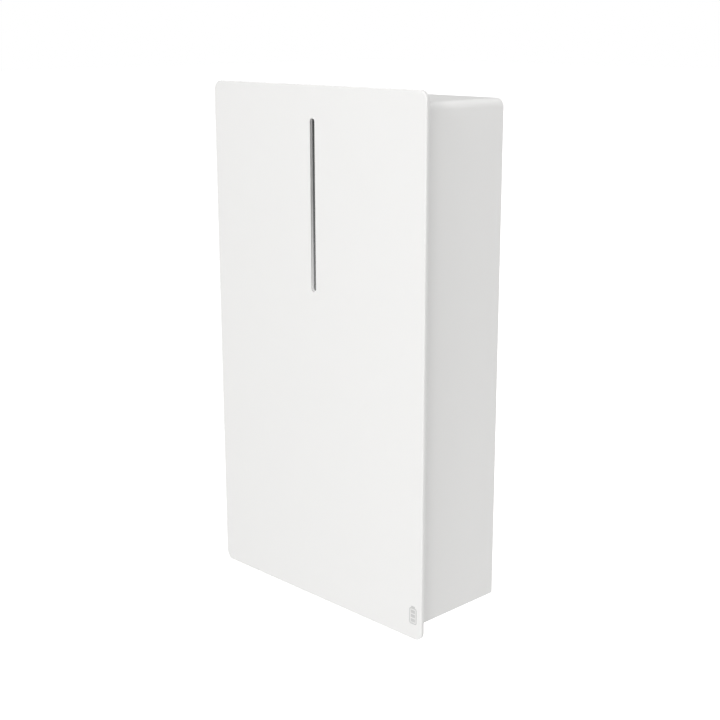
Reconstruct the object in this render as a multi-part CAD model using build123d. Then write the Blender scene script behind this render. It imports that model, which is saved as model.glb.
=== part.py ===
"""Wall battery unit: a large thin front plate, standing proud of a plain sheet-metal hood, hides a sealed
steel case with four battery modules and their electronics. The case hangs on a wall bracket.

Millimetres. The origin is the centre of the wall bracket's four bolt holes, on the wall's face.
+X runs to the right seen from the room, +Z up and +Y into the wall, so the front faces -Y.
A depth is a distance out from the wall, along -Y.
"""

import os
from math import cos, radians, sin

from build123d import *

# ---------------------------------------------------------------- driving dimensions
# Front plate: a shallow sheet tray with a board bonded into it.
PLATE_W = 560.0
PLATE_H = 987.0
PLATE_T = 7.0
PLATE_R = 18.0
PLATE_TOP = 302.0  # height above the origin
PLATE_SKIN = 1.5
PLATE_BEND = 1.9  # outside radius of the tray's bent edge
FRONT_DEPTH = 226.5  # from the wall to the plate's face
OVERHANG = 22.0  # the plate stands this far past the body on every side
PLATE_GAP = 1.0

# Status light slot in the plate.
SLOT_W = 12.5
SLOT_L = 317.0
SLOT_DROP = 59.0  # from the plate's top edge to the slot's top
LENS_SETBACK = 5.8

# Hood: bent sheet round the top and both sides.
HOOD_T = 1.5
BODY_R = 15.0
WALL_GAP = 2.0
HOOD_FRONT_RETURN = 10.0
HOOD_REAR_RETURN = 14.0
HOOD_CLEAR = 2.5
SKIRT_H = 45.0  # recess under the body, round the cable entries

# Sealed steel case.
CASE_T = 2.0
REAR_SPACE = 15.0
CASE_FLANGE = 24.0
COVER_T = 2.0
COVER_SETBACK = 0.5
COVER_INSET = 8.0  # cover's edge inside the case's outline
GASKET_T = 4.0
GASKET_W = 5.0
GASKET_INSET = 18.0  # gasket's outer edge inside the case's outline

# Battery modules.
MODULES = 4
CELLS = 16
CELL_W = 26.7
CELL_D = 148.3
CELL_H = 95.0
CELL_GAP = 0.5
CELL_TERMINAL_R = 7.0
CELL_TERMINAL_H = 2.5
CELL_TERMINAL_PITCH = 100.0
MODULE_LID_H = 16.0
MODULE_AIR = 25.0  # between a module's lid and the shelf above it
MODULE_TOP_AIR = 24.0  # over the top module's lid
MODULE_DEPTH = 25.0  # from the wall to the back of the cells
END_PLATE_T = 8.0
STRAP_T = 0.8
SHELF_T = 2.0

# Wall bracket.
BRACKET_W = 440.0
BRACKET_H = 260.0
BRACKET_T = 3.0
BOLT_X = 400.0
BOLT_Z = 200.0
BOLT_R = 4.5
LIP_DEPTH = 9.0
LIP_H = 20.0
HOOK_W = 80.0
HOOK_X = 140.0

# Gland plate under the case.
GLAND_PLATE_D = 150.0
GLAND_PLATE_T = 3.0
GLAND_PLATE_MARGIN = 39.0  # from the case's side to the gland plate's end
GLAND_SEAL_T = 1.5
GLAND_PLATE_DEPTH = 105.0  # from the wall to its centre line
GLAND_BORE_R = 8.0
GLAND_THREAD_R = 12.5
GLAND_PITCH = 48.0
GLAND_X = 60.0  # the first of three
GLANDS = 3

# Fits.
FIT = 0.05  # running clearance on a radius
CLEAR = 0.3  # loose clearance a side
SCREW_R = 2.5

# ---------------------------------------------------------------- worked out from them
PLATE_BACK = FRONT_DEPTH - PLATE_T
PLATE_MID_Z = PLATE_TOP - PLATE_H / 2
SLOT_Z = PLATE_TOP - SLOT_DROP - SLOT_L / 2
LENS_FRONT = FRONT_DEPTH - LENS_SETBACK
BODY_W = PLATE_W - 2 * OVERHANG
BODY_TOP = PLATE_TOP - OVERHANG
BODY_BOTTOM = PLATE_TOP - PLATE_H + OVERHANG
HOOD_FRONT = PLATE_BACK - PLATE_GAP
CASE_W = BODY_W - 2 * (HOOD_T + HOOD_CLEAR)
GLAND_PLATE_W = CASE_W - 2 * GLAND_PLATE_MARGIN
CASE_TOP = BODY_TOP - HOOD_T - HOOD_CLEAR
CASE_BOTTOM = BODY_BOTTOM + SKIRT_H + GLAND_PLATE_T + GLAND_SEAL_T
CASE_H = CASE_TOP - CASE_BOTTOM
CASE_MID_Z = (CASE_TOP + CASE_BOTTOM) / 2
CASE_BACK = REAR_SPACE
CASE_INNER_BACK = CASE_BACK + CASE_T
COVER_FRONT = HOOD_FRONT - COVER_SETBACK
COVER_BACK = COVER_FRONT - COVER_T
CASE_FRONT = COVER_BACK - GASKET_T
FLOOR_Z = CASE_BOTTOM + CASE_T  # inside the case
GLAND_TOP = CASE_BOTTOM - GLAND_SEAL_T
GLAND_UNDER = GLAND_TOP - GLAND_PLATE_T
STACK_W = CELLS * CELL_W + (CELLS - 1) * CELL_GAP
MODULE_W = STACK_W + 2 * END_PLATE_T
MODULE_FRONT = MODULE_DEPTH + CELL_D
MODULE_PITCH = CELL_H + MODULE_LID_H + SHELF_T + MODULE_AIR
TOP_MODULE_FLOOR = CASE_TOP - CASE_T - MODULE_TOP_AIR - MODULE_LID_H - CELL_H
MODULE_FLOOR = TOP_MODULE_FLOOR - (MODULES - 1) * MODULE_PITCH  # top of the lowest shelf
BAY_TOP = MODULE_FLOOR - SHELF_T  # roof of the bay for the electronics
SCREW_INSET = (COVER_INSET + GASKET_INSET) / 2  # screws run outside the gasket


# ---------------------------------------------------------------- shared shapes
def block(x, depth, z):
    """A box from its (low, high) in X, in depth from the wall and in Z."""
    size = (x[1] - x[0], depth[1] - depth[0], z[1] - z[0])
    return Pos((x[0] + x[1]) / 2, -(depth[0] + depth[1]) / 2, (z[0] + z[1]) / 2) * Box(*size)


def layer(outline, near, far):
    """A flat outline in X and Z, made solid between two depths."""
    return extrude(Plane.XZ.offset(near) * outline, amount=far - near)


def outwards(x, z, r, near, far):
    """A round bar along the depth."""
    return layer(Pos(x, z) * Circle(r), near, far)


def upright(x, depth, r, low, high):
    """A round bar along Z."""
    return Pos(x, -depth, (low + high) / 2) * Cylinder(r, high - low)


def sideways(x, depth, z, r):
    """A round bar along X, from x[0] to x[1]."""
    return Pos((x[0] + x[1]) / 2, -depth, z) * Rot(0, 90, 0) * Cylinder(r, x[1] - x[0])


def case_outline(inset, r):
    """The case's outline, moved in by inset, with corners of radius r."""
    return Pos(0, CASE_MID_Z) * RectangleRounded(CASE_W - 2 * inset, CASE_H - 2 * inset, r)


def slot_outline(grow):
    """The light slot's outline, grown by this much on every side."""
    return Pos(0, SLOT_Z) * Rot(0, 0, 90) * SlotOverall(SLOT_L + 2 * grow, SLOT_W + 2 * grow)


def save(node, *pieces):
    """Write one node's solids to parts/NODE.step."""
    solids = [solid for piece in pieces for solid in piece.solids()]
    export_step(Compound(solids), f"parts/{node}.step")


os.makedirs("parts", exist_ok=True)

# ---------------------------------------------------------------- front plate
PIN_X = CASE_W / 2 - CASE_FLANGE - 30.0
PIN_R = 4.0
PIN_FLANGE_R = 10.0
PIN_FLANGE_T = 2.0
PIN_REACH = 13.0  # how far a pin goes in behind the cover's face
PIN_INSET_Z = 56.0
PIN_Z = (CASE_TOP - PIN_INSET_Z, CASE_BOTTOM + PIN_INSET_Z)
PIN_PLACES = [(x, z) for x in (-PIN_X, PIN_X) for z in PIN_Z]
MAGNET_X = 100.0
MAGNET_R = 7.5
MAGNET_T = 2.0
MAGNET_PLACES = [(x, z) for x in (-MAGNET_X, MAGNET_X) for z in PIN_Z]
BADGE_W = 18.0
BADGE_H = 35.0
BADGE_T = 0.3
BADGE_EDGE = 12.0  # from the plate's right edge
BADGE_RISE = 30.5  # from the plate's bottom edge
STIFFENER_BACK = PLATE_BACK + 0.2
STIFFENER_FRONT = FRONT_DEPTH - PLATE_SKIN


def plate_outline(inset):
    """The plate's rounded outline, moved in by inset."""
    return Pos(0, PLATE_MID_Z) * RectangleRounded(PLATE_W - 2 * inset, PLATE_H - 2 * inset, PLATE_R - inset)


def front_plate():
    """Sheet tray: a flat face with a folded edge all round, and the light slot."""
    tray = layer(plate_outline(0), PLATE_BACK, FRONT_DEPTH)
    tray = fillet(tray.edges().group_by(Axis.Y)[0], PLATE_BEND)
    tray -= layer(plate_outline(PLATE_SKIN), PLATE_BACK, STIFFENER_FRONT)
    return tray - layer(slot_outline(0), STIFFENER_FRONT, FRONT_DEPTH)


def plate_stiffener():
    """Board bonded into the tray, with the slot and blind seats for the pins and magnets."""
    board = layer(plate_outline(PLATE_SKIN + CLEAR), STIFFENER_BACK, STIFFENER_FRONT)
    board -= layer(slot_outline(0), STIFFENER_BACK, STIFFENER_FRONT)
    for x, z in PIN_PLACES:
        board -= outwards(x, z, PIN_FLANGE_R + FIT, STIFFENER_BACK, STIFFENER_BACK + PIN_FLANGE_T)
    for x, z in MAGNET_PLACES:
        board -= outwards(x, z, MAGNET_R + FIT, STIFFENER_BACK, STIFFENER_BACK + MAGNET_T)
    return board


def plate_pin(x, z):
    """Straight pin with a flange set into the board."""
    flange = outwards(x, z, PIN_FLANGE_R, STIFFENER_BACK, STIFFENER_BACK + PIN_FLANGE_T)
    return flange + outwards(x, z, PIN_R, COVER_FRONT - PIN_REACH, STIFFENER_BACK)


def plate_magnet(x, z):
    """Disc magnet set into the board."""
    return outwards(x, z, MAGNET_R, STIFFENER_BACK, STIFFENER_BACK + MAGNET_T)


def plate_badge():
    """Thin battery pictogram: an outline with a terminal cap and three charge bars."""
    right = PLATE_W / 2 - BADGE_EDGE
    mid_x = right - BADGE_W / 2
    low = PLATE_TOP - PLATE_H + BADGE_RISE
    cap_h = BADGE_H / 10
    wall = BADGE_W / 9
    body_h = BADGE_H - cap_h
    body = Pos(mid_x, low + body_h / 2) * RectangleRounded(BADGE_W, body_h, 2 * wall)
    body -= Pos(mid_x, low + body_h / 2) * RectangleRounded(BADGE_W - 2 * wall, body_h - 2 * wall, wall)
    body += Pos(mid_x, low + body_h + cap_h / 2) * Rectangle(BADGE_W / 2, cap_h)
    bar_pitch = (body_h - 3 * wall) / 3
    badge = layer(body, FRONT_DEPTH, FRONT_DEPTH + BADGE_T)
    bars = [
        block(
            (mid_x - BADGE_W / 2 + 2 * wall, mid_x + BADGE_W / 2 - 2 * wall),
            (FRONT_DEPTH, FRONT_DEPTH + BADGE_T),
            (low + 2 * wall + i * bar_pitch, low + wall + (i + 1) * bar_pitch),
        )
        for i in range(3)
    ]
    return [badge, *bars]


save("front_plate", front_plate())
save("plate_stiffener", plate_stiffener())
save("plate_pins", *[plate_pin(x, z) for x, z in PIN_PLACES])
save("plate_magnets", *[plate_magnet(x, z) for x, z in MAGNET_PLACES])
save("plate_badge", *plate_badge())

# ---------------------------------------------------------------- service cover and status light
SOCKET_R = 9.0
SOCKET_FLANGE_R = 13.0
SOCKET_FLANGE_T = 1.2
SOCKET_FLOOR = 1.5
KEEPER_R = 9.0
COVER_R = 6.0
SCREW_HEAD_R = 4.5
SCREW_HEAD_T = 1.2
SCREW_L = 14.0
SCREWS_DOWN = 6  # along each side
RIVNUT_R = 3.6
RIVNUT_HEAD_R = 4.8
RIVNUT_HEAD_T = 0.8
RIVNUT_L = 9.0
RIVNUT_BORE_R = SCREW_R + FIT
HOUSING_WALL = 3.0
HOUSING_RIM = 8.0
HOUSING_DEPTH = 12.0  # behind the cover's face
HOUSING_RIM_T = 1.2
LENS_T = 3.5
GUIDE_T = 5.0
LED_BOARD_T = 1.6
LEDS = 12
LED_SIZE = 5.0
LED_T = 1.4


def cover_screw_places():
    """Screws down both sides, and two along the top and the bottom."""
    side = CASE_W / 2 - SCREW_INSET
    high = CASE_TOP - SCREW_INSET
    low = CASE_BOTTOM + SCREW_INSET
    step = (high - low) / (SCREWS_DOWN - 1)
    sides = [(x, low + i * step) for x in (-side, side) for i in range(SCREWS_DOWN)]
    ends = [(x, z) for x in (-side / 3, side / 3) for z in (low, high)]
    return sides + ends


def service_cover():
    """Flat lid with holes for the screws, the sockets and the light housing."""
    lid = layer(case_outline(COVER_INSET, COVER_R), COVER_BACK, COVER_FRONT)
    lid -= layer(slot_outline(HOUSING_WALL + CLEAR), COVER_BACK, COVER_FRONT)
    for x, z in cover_screw_places():
        lid -= outwards(x, z, SCREW_R + CLEAR, COVER_BACK, COVER_FRONT)
    for x, z in PIN_PLACES:
        lid -= outwards(x, z, SOCKET_R + FIT, COVER_BACK, COVER_FRONT)
    return lid


def cover_gasket():
    """Foam ring between the lid and the case's flange."""
    ring = layer(case_outline(GASKET_INSET, COVER_R), CASE_FRONT, COVER_BACK)
    return ring - layer(case_outline(GASKET_INSET + GASKET_W, COVER_R / 2), CASE_FRONT, COVER_BACK)


def cover_screw(x, z):
    """Captive low-head screw with a hexagon socket."""
    head = outwards(x, z, SCREW_HEAD_R, COVER_FRONT, COVER_FRONT + SCREW_HEAD_T)
    socket = Pos(x, z) * RegularPolygon(SCREW_R / 2, 6)
    drive = layer(socket, COVER_FRONT + SCREW_HEAD_T / 3, COVER_FRONT + SCREW_HEAD_T)
    return head + outwards(x, z, SCREW_R, COVER_FRONT - SCREW_L, COVER_FRONT) - drive


def cover_rivnut(x, z):
    """Threaded sleeve riveted into the case's flange."""
    nut = outwards(x, z, RIVNUT_R, CASE_FRONT - RIVNUT_L, CASE_FRONT)
    nut += outwards(x, z, RIVNUT_HEAD_R, CASE_FRONT, CASE_FRONT + RIVNUT_HEAD_T)
    return nut - outwards(x, z, RIVNUT_BORE_R, CASE_FRONT - RIVNUT_L, CASE_FRONT + RIVNUT_HEAD_T)


def pin_socket(x, z):
    """Blind bush in the lid that takes one of the plate's pins."""
    floor = COVER_FRONT - PIN_REACH - CLEAR
    bush = outwards(x, z, SOCKET_R, floor - SOCKET_FLOOR, COVER_FRONT)
    bush += outwards(x, z, SOCKET_FLANGE_R, COVER_FRONT, COVER_FRONT + SOCKET_FLANGE_T)
    return bush - outwards(x, z, PIN_R + FIT, floor, COVER_FRONT + SOCKET_FLANGE_T)


def light_housing():
    """Long channel through the lid, open behind, with a rim on the lid's face."""
    front = COVER_FRONT + HOUSING_RIM_T
    lens_back = LENS_FRONT - LENS_T
    channel = layer(slot_outline(HOUSING_WALL), COVER_FRONT - HOUSING_DEPTH, COVER_FRONT)
    channel += layer(slot_outline(HOUSING_RIM), COVER_FRONT, front)
    channel -= layer(slot_outline(0), COVER_FRONT - HOUSING_DEPTH, lens_back - CLEAR)
    return channel - layer(slot_outline(-CLEAR), lens_back - CLEAR, front)


def led_parts():
    """The lens, the light guide behind it, the board and its row of lamps."""
    lens_back = LENS_FRONT - LENS_T
    guide_front = lens_back - CLEAR
    guide_back = guide_front - GUIDE_T
    board_back = COVER_FRONT - HOUSING_DEPTH
    board_front = board_back + LED_BOARD_T
    lens = layer(slot_outline(-CLEAR - FIT), lens_back, LENS_FRONT)
    guide = layer(slot_outline(-CLEAR), guide_back, guide_front)
    board = layer(slot_outline(-CLEAR), board_back, board_front)
    step = (SLOT_L - 2 * SLOT_W) / (LEDS - 1)
    lowest = SLOT_Z - step * (LEDS - 1) / 2
    half = LED_SIZE / 2
    lamps = []
    for i in range(LEDS):
        z = lowest + i * step
        lamps.append(block((-half, half), (board_front, board_front + LED_T), (z - half, z + half)))
    return lens, guide, board, lamps


light_lens, light_guide, led_board, status_leds = led_parts()
save("service_cover", service_cover())
save("cover_gasket", cover_gasket())
save("cover_screws", *[cover_screw(x, z) for x, z in cover_screw_places()])
save("pin_sockets", *[pin_socket(x, z) for x, z in PIN_PLACES])
save(
    "magnet_keepers",
    *[outwards(x, z, KEEPER_R, COVER_FRONT, COVER_FRONT + SOCKET_FLANGE_T) for x, z in MAGNET_PLACES],
)
save("light_housing", light_housing())
save("light_lens", light_lens)
save("light_guide", light_guide)
save("led_board", led_board)
save("status_leds", *status_leds)

# ---------------------------------------------------------------- hood, case and wall bracket
CASE_CORNER_R = BODY_R - HOOD_T - HOOD_CLEAR
STANDOFF_R = 4.0
STANDOFF_X = BODY_W / 2 - HOOD_T - HOOD_REAR_RETURN / 2
STANDOFF_INSET = 90.0
STANDOFF_Z = (CASE_TOP - STANDOFF_INSET, CASE_MID_Z, CASE_BOTTOM + STANDOFF_INSET)
STANDOFF_PLACES = [(x, z) for x in (-STANDOFF_X, STANDOFF_X) for z in STANDOFF_Z]
STANDOFF_BORE_R = 2.0
HOOD_SCREW_HEAD_R = 3.5
HOOD_SCREW_HEAD_T = 1.4
BUFFER_X = 180.0
BUFFER_Z = CASE_BOTTOM + 163.5
BUFFER_R = 15.0
LIP_Z = BRACKET_H / 2
LIP_W = BOLT_X - 20.0
HOOK_T = 3.0
HOOK_RISE = 40.0
GLAND_CUT = 15.0  # the case's cut-out lies this far inside the gland plate's edge


def hood_outline(inset, drop):
    """Round-topped body outline, moved in by inset and let down past the bottom by drop."""
    top = BODY_TOP - inset
    bottom = BODY_BOTTOM - drop
    sheet = Pos(0, (top + bottom) / 2) * Rectangle(BODY_W - 2 * inset, top - bottom)
    return fillet(sheet.vertices().sort_by(Axis.Y)[-2:], BODY_R - inset)


def hood():
    """Bent sheet round the top and sides, with a framed front and narrow rear returns, open below."""
    shell = layer(hood_outline(0, 0), WALL_GAP, HOOD_FRONT)
    shell -= layer(hood_outline(HOOD_T, SKIRT_H), WALL_GAP + HOOD_T, HOOD_FRONT - HOOD_T)
    mouth_low = CASE_BOTTOM + COVER_INSET - HOOD_CLEAR
    mouth_high = BODY_TOP - HOOD_FRONT_RETURN
    mouth_half = BODY_W / 2 - HOOD_FRONT_RETURN
    shell -= block((-mouth_half, mouth_half), (HOOD_FRONT - HOOD_T, HOOD_FRONT), (mouth_low, mouth_high))
    rear_half = BODY_W / 2 - HOOD_T - HOOD_REAR_RETURN
    rear = (BODY_BOTTOM, BODY_TOP - BODY_R)
    shell -= block((-rear_half, rear_half), (WALL_GAP, WALL_GAP + HOOD_T), rear)
    for x, z in STANDOFF_PLACES:
        shell -= outwards(x, z, STANDOFF_BORE_R + CLEAR, WALL_GAP, WALL_GAP + HOOD_T)
    return shell


def enclosure():
    """Welded case: back, four walls and a front flange, with a cut-out below for the gland plate."""
    case = layer(case_outline(0, CASE_CORNER_R), CASE_BACK, CASE_FRONT)
    inner_r = CASE_CORNER_R - CASE_T
    case -= layer(case_outline(CASE_T, inner_r), CASE_INNER_BACK, CASE_FRONT - CASE_T)
    case -= layer(case_outline(CASE_FLANGE, COVER_R / 2), CASE_FRONT - CASE_T, CASE_FRONT)
    for x, z in cover_screw_places():
        case -= outwards(x, z, RIVNUT_R + FIT, CASE_FRONT - CASE_T, CASE_FRONT)
    cut_half = GLAND_PLATE_W / 2 - GLAND_CUT
    cut_depth = GLAND_PLATE_D / 2 - GLAND_CUT
    return case - block(
        (-cut_half, cut_half),
        (GLAND_PLATE_DEPTH - cut_depth, GLAND_PLATE_DEPTH + cut_depth),
        (CASE_BOTTOM, FLOOR_Z),
    )


def hood_standoff(x, z):
    """Threaded spacer between the hood's rear return and the case."""
    post = outwards(x, z, STANDOFF_R, WALL_GAP + HOOD_T, CASE_BACK)
    return post - outwards(x, z, STANDOFF_BORE_R + FIT, WALL_GAP + HOOD_T, CASE_BACK - HOOD_T)


def hood_screw(x, z):
    """Low-head screw through the hood's rear return."""
    head = outwards(x, z, HOOD_SCREW_HEAD_R, WALL_GAP - HOOD_SCREW_HEAD_T, WALL_GAP)
    return head + outwards(x, z, STANDOFF_BORE_R, WALL_GAP, CASE_BACK - HOOD_T - CLEAR)


def wall_bracket():
    """Plate with four bolt holes and a lip along its top for the case's hooks."""
    plate = block((-BRACKET_W / 2, BRACKET_W / 2), (0, BRACKET_T), (-LIP_Z, LIP_Z))
    for x in (-BOLT_X / 2, BOLT_X / 2):
        for z in (-BOLT_Z / 2, BOLT_Z / 2):
            plate -= outwards(x, z, BOLT_R, 0, BRACKET_T)
    outer = LIP_DEPTH + BRACKET_T
    plate += block((-LIP_W / 2, LIP_W / 2), (BRACKET_T, outer), (LIP_Z - BRACKET_T, LIP_Z))
    return plate + block((-LIP_W / 2, LIP_W / 2), (LIP_DEPTH, outer), (LIP_Z, LIP_Z + LIP_H))


def hanging_hook(x):
    """Folded hook welded to the case's back, hanging over the bracket's lip."""
    span = (x - HOOK_W / 2, x + HOOK_W / 2)
    seat = LIP_Z + LIP_H
    leg = (LIP_DEPTH - 0.5 - HOOK_T, LIP_DEPTH - 0.5)
    hook = block(span, leg, (LIP_Z + HOOK_T, seat + HOOK_T))
    hook += block(span, (leg[1], CASE_BACK), (seat, seat + HOOK_T))
    return hook + block(span, (CASE_BACK - CASE_T, CASE_BACK), (seat + HOOK_T, seat + HOOK_RISE))


save("hood", hood())
save("enclosure", enclosure())
threaded_inserts = [cover_rivnut(x, z) for x, z in cover_screw_places()]
save("threaded_inserts", *threaded_inserts, *[hood_standoff(x, z) for x, z in STANDOFF_PLACES])
save("wall_bracket", wall_bracket())
save("hanging_hooks", hanging_hook(-HOOK_X), hanging_hook(HOOK_X))
save("wall_buffers", *[outwards(x, BUFFER_Z, BUFFER_R, 0, CASE_BACK) for x in (-BUFFER_X, BUFFER_X)])

# ---------------------------------------------------------------- battery modules
CELL_CORNER_R = 2.0
SHELF_LIP_H = 12.0
BUSBAR_W = 20.0
BUSBAR_T = 2.0
MODULE_LID_T = 1.5
STRAP_H = 18.0
STRAP_RISES = (25.0, 70.0)
TAB_W = 20.0
TAB_REACH = 12.0  # past the front of the cells
MONITOR_W = 130.0
MONITOR_H = 56.0
MONITOR_STANDOFF = 5.0
MONITOR_STANDOFF_R = 3.0
BOARD_T = 1.6
SHELF_FRONT = MODULE_FRONT + STRAP_T + 2.0


def floor_of(module):
    """Height of the shelf that this module stands on."""
    return MODULE_FLOOR + module * MODULE_PITCH


def cell_x(i):
    """Middle of a cell along the stack."""
    return -STACK_W / 2 + CELL_W / 2 + i * (CELL_W + CELL_GAP)


def terminal_depth(front):
    """Depth of the front or the rear row of cell terminals."""
    mid = MODULE_DEPTH + CELL_D / 2
    return mid + CELL_TERMINAL_PITCH / 2 if front else mid - CELL_TERMINAL_PITCH / 2


def cell(i, module):
    """One prismatic cell with its two terminals on top."""
    z = floor_of(module)
    x = cell_x(i)
    can = block((x - CELL_W / 2, x + CELL_W / 2), (MODULE_DEPTH, MODULE_FRONT), (z, z + CELL_H))
    can = fillet(can.edges().filter_by(Axis.Z), CELL_CORNER_R)
    for front in (False, True):
        can += upright(x, terminal_depth(front), CELL_TERMINAL_R, z + CELL_H, z + CELL_H + CELL_TERMINAL_H)
    return can


def end_plates(module):
    """Two aluminium plates that close a module's stack."""
    z = floor_of(module)
    inner = STACK_W / 2
    outer = inner + END_PLATE_T
    depth = (MODULE_DEPTH, MODULE_FRONT)
    return [block(x, depth, (z, z + CELL_H)) for x in ((-outer, -inner), (inner, outer))]


def straps(module):
    """Steel bands along the front and the back of a stack."""
    bands = []
    for rise in STRAP_RISES:
        z = floor_of(module) + rise
        for near in (MODULE_DEPTH - STRAP_T, MODULE_FRONT):
            span = (-MODULE_W / 2, MODULE_W / 2)
            bands.append(block(span, (near, near + STRAP_T), (z - STRAP_H / 2, z + STRAP_H / 2)))
    return bands


def busbars(module):
    """Bars that join neighbouring cells in series, at the back and the front in turn."""
    low = floor_of(module) + CELL_H + CELL_TERMINAL_H
    bars = []
    for i in range(CELLS - 1):
        depth = terminal_depth(i % 2 == 1)
        span = (cell_x(i) - CELL_TERMINAL_R, cell_x(i + 1) + CELL_TERMINAL_R)
        bars.append(block(span, (depth - BUSBAR_W / 2, depth + BUSBAR_W / 2), (low, low + BUSBAR_T)))
    return bars


def module_tabs(module):
    """Copper tabs that bring a module's two free terminals out to its front."""
    low = floor_of(module) + CELL_H + CELL_TERMINAL_H
    tabs = []
    for x in (cell_x(0), cell_x(CELLS - 1)):
        depth = (terminal_depth(True) - TAB_W / 2, MODULE_FRONT + TAB_REACH)
        tabs.append(block((x - TAB_W / 2, x + TAB_W / 2), depth, (low, low + BUSBAR_T)))
    return tabs


def module_link(module):
    """Upright copper bar from one module's tab to the next one's, right and left in turn."""
    x = cell_x(CELLS - 1) if module % 2 == 0 else cell_x(0)
    near = MODULE_FRONT + TAB_REACH
    low = floor_of(module) + CELL_H + CELL_TERMINAL_H
    high = low + MODULE_PITCH + BUSBAR_T
    return block((x - TAB_W / 2, x + TAB_W / 2), (near, near + BUSBAR_T), (low, high))


def module_lid(module):
    """Plastic lid over a module's terminals, notched at the front for its tabs."""
    low = floor_of(module) + CELL_H
    half = MODULE_W / 2
    lid = block((-half, half), (MODULE_DEPTH, MODULE_FRONT), (low, low + MODULE_LID_H))
    inner = (MODULE_DEPTH + MODULE_LID_T, MODULE_FRONT - MODULE_LID_T)
    inner_half = half - MODULE_LID_T
    lid -= block((-inner_half, inner_half), inner, (low, low + MODULE_LID_H - MODULE_LID_T))
    for x in (cell_x(0), cell_x(CELLS - 1)):
        notch = (x - TAB_W / 2 - 1, x + TAB_W / 2 + 1)
        lid -= block(notch, (inner[1], MODULE_FRONT), (low, low + MODULE_LID_H / 2))
    return lid


def shelf(module):
    """Shelf from wall to wall of the case, with a lip in front of the module."""
    half = CASE_W / 2 - CASE_T
    z = floor_of(module)
    sheet = block((-half, half), (CASE_INNER_BACK, SHELF_FRONT), (z - SHELF_T, z))
    return sheet + block((-half, half), (SHELF_FRONT - SHELF_T + CLEAR, SHELF_FRONT), (z, z + SHELF_LIP_H))


def monitor_board(module):
    """Cell monitoring board on four spacers, which stand on the straps."""
    mid = floor_of(module) + sum(STRAP_RISES) / 2
    back = MODULE_FRONT + STRAP_T
    near = back + MONITOR_STANDOFF
    board = block(
        (-MONITOR_W / 2, MONITOR_W / 2),
        (near, near + BOARD_T),
        (mid - MONITOR_H / 2, mid + MONITOR_H / 2),
    )
    pieces = [board]
    for x in (-MONITOR_W / 2 + 6, MONITOR_W / 2 - 6):
        for rise in STRAP_RISES:
            pieces.append(outwards(x, floor_of(module) + rise, MONITOR_STANDOFF_R, back, near))
    plug = (-MONITOR_W / 4, MONITOR_W / 4)
    pieces.append(block(plug, (near + BOARD_T, near + BOARD_T + 7), (mid - 6, mid + 6)))
    return pieces


modules = range(MODULES)
save("battery_cells", *[cell(i, m) for m in modules for i in range(CELLS)])
save("module_frames", *[piece for m in modules for piece in end_plates(m) + straps(m)])
copper_bars = [piece for m in modules for piece in busbars(m) + module_tabs(m)]
copper_bars += [module_link(m) for m in range(MODULES - 1)]
save("module_lids", *[module_lid(m) for m in modules])
save("module_shelves", *[shelf(m) for m in modules])

# ---------------------------------------------------------------- power electronics
EQUIP_W = CASE_W - 20.0
EQUIP_T = 2.5
EQUIP_INSET = 11.0
EQUIP_EDGE = 9.0  # bare strip down each side of the plate
HEATSINK_W = 170.0
HEATSINK_X = -(EQUIP_W / 2 - EQUIP_EDGE - HEATSINK_W / 2)
HEATSINK_TOP = BAY_TOP - 88.0
HEATSINK_H = 180.0
FIN_COUNT = 12
FIN_T = 2.0
FIN_D = 30.0
HEATSINK_BASE_T = 6.0
TRANSISTOR = (16.0, 5.0, 20.0)
POWER_BOARD_GAP = 9.0
INDUCTOR_R = 24.0
INDUCTOR_HOLE_R = 11.0
INDUCTOR_H = 20.0
CAPACITOR_R = 11.0
CAPACITOR_H = 35.0
CAPACITORS = 6
FAN_SIZE = 80.0
FAN_T = 25.0
FAN_RISE = 5.0  # above the heatsink
FAN_DUCT_R = 38.0
FAN_BLADES = 7
FAN_HUB_R = 15.0
FAN_TIP_GAP = 1.5
FAN_SHAFT_R = 1.5
FAN_PITCH = 38.0  # blade angle in degrees
FAN_STATOR_R = 12.0
FAN_STATOR_H = 6.0
BMS_X = 15.0
BMS_W = 110.0
BMS_TOP = BAY_TOP - 15.0
BMS_H = 185.0
BMS_STANDOFF = 10.0
HARNESS_R = 2.5
HARNESS_X = 20.0
HARNESS_BEND = 20.0

EQUIP_BACK = CASE_INNER_BACK
EQUIP_FRONT = EQUIP_BACK + EQUIP_T
HEATSINK_LOW = HEATSINK_TOP - HEATSINK_H
HEATSINK_SPAN = (HEATSINK_X - HEATSINK_W / 2, HEATSINK_X + HEATSINK_W / 2)
BASE_BACK = EQUIP_FRONT + FIN_D
BASE_FRONT = BASE_BACK + HEATSINK_BASE_T
POWER_BACK = BASE_FRONT + POWER_BOARD_GAP
POWER_FRONT = POWER_BACK + BOARD_T
FAN_LOW = HEATSINK_TOP + FAN_RISE
FAN_TOP = FAN_LOW + FAN_T
FAN_DEPTH = EQUIP_FRONT + FAN_SIZE / 2
BMS_BACK = EQUIP_FRONT + BMS_STANDOFF
BMS_FRONT = BMS_BACK + BOARD_T


def standoffs(x_span, z_span, near, far, inset=6.0, r=3.0):
    """Four round spacers, one near each corner of a board."""
    xs = (x_span[0] + inset, x_span[1] - inset)
    zs = (z_span[0] + inset, z_span[1] - inset)
    return [outwards(x, z, r, near, far) for x in xs for z in zs]


def equipment_plate():
    """Bright steel plate on the case's back, which carries the electronics."""
    span = (-EQUIP_W / 2, EQUIP_W / 2)
    return block(span, (EQUIP_BACK, EQUIP_FRONT), (FLOOR_Z + EQUIP_INSET, BAY_TOP - EQUIP_INSET))


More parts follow.
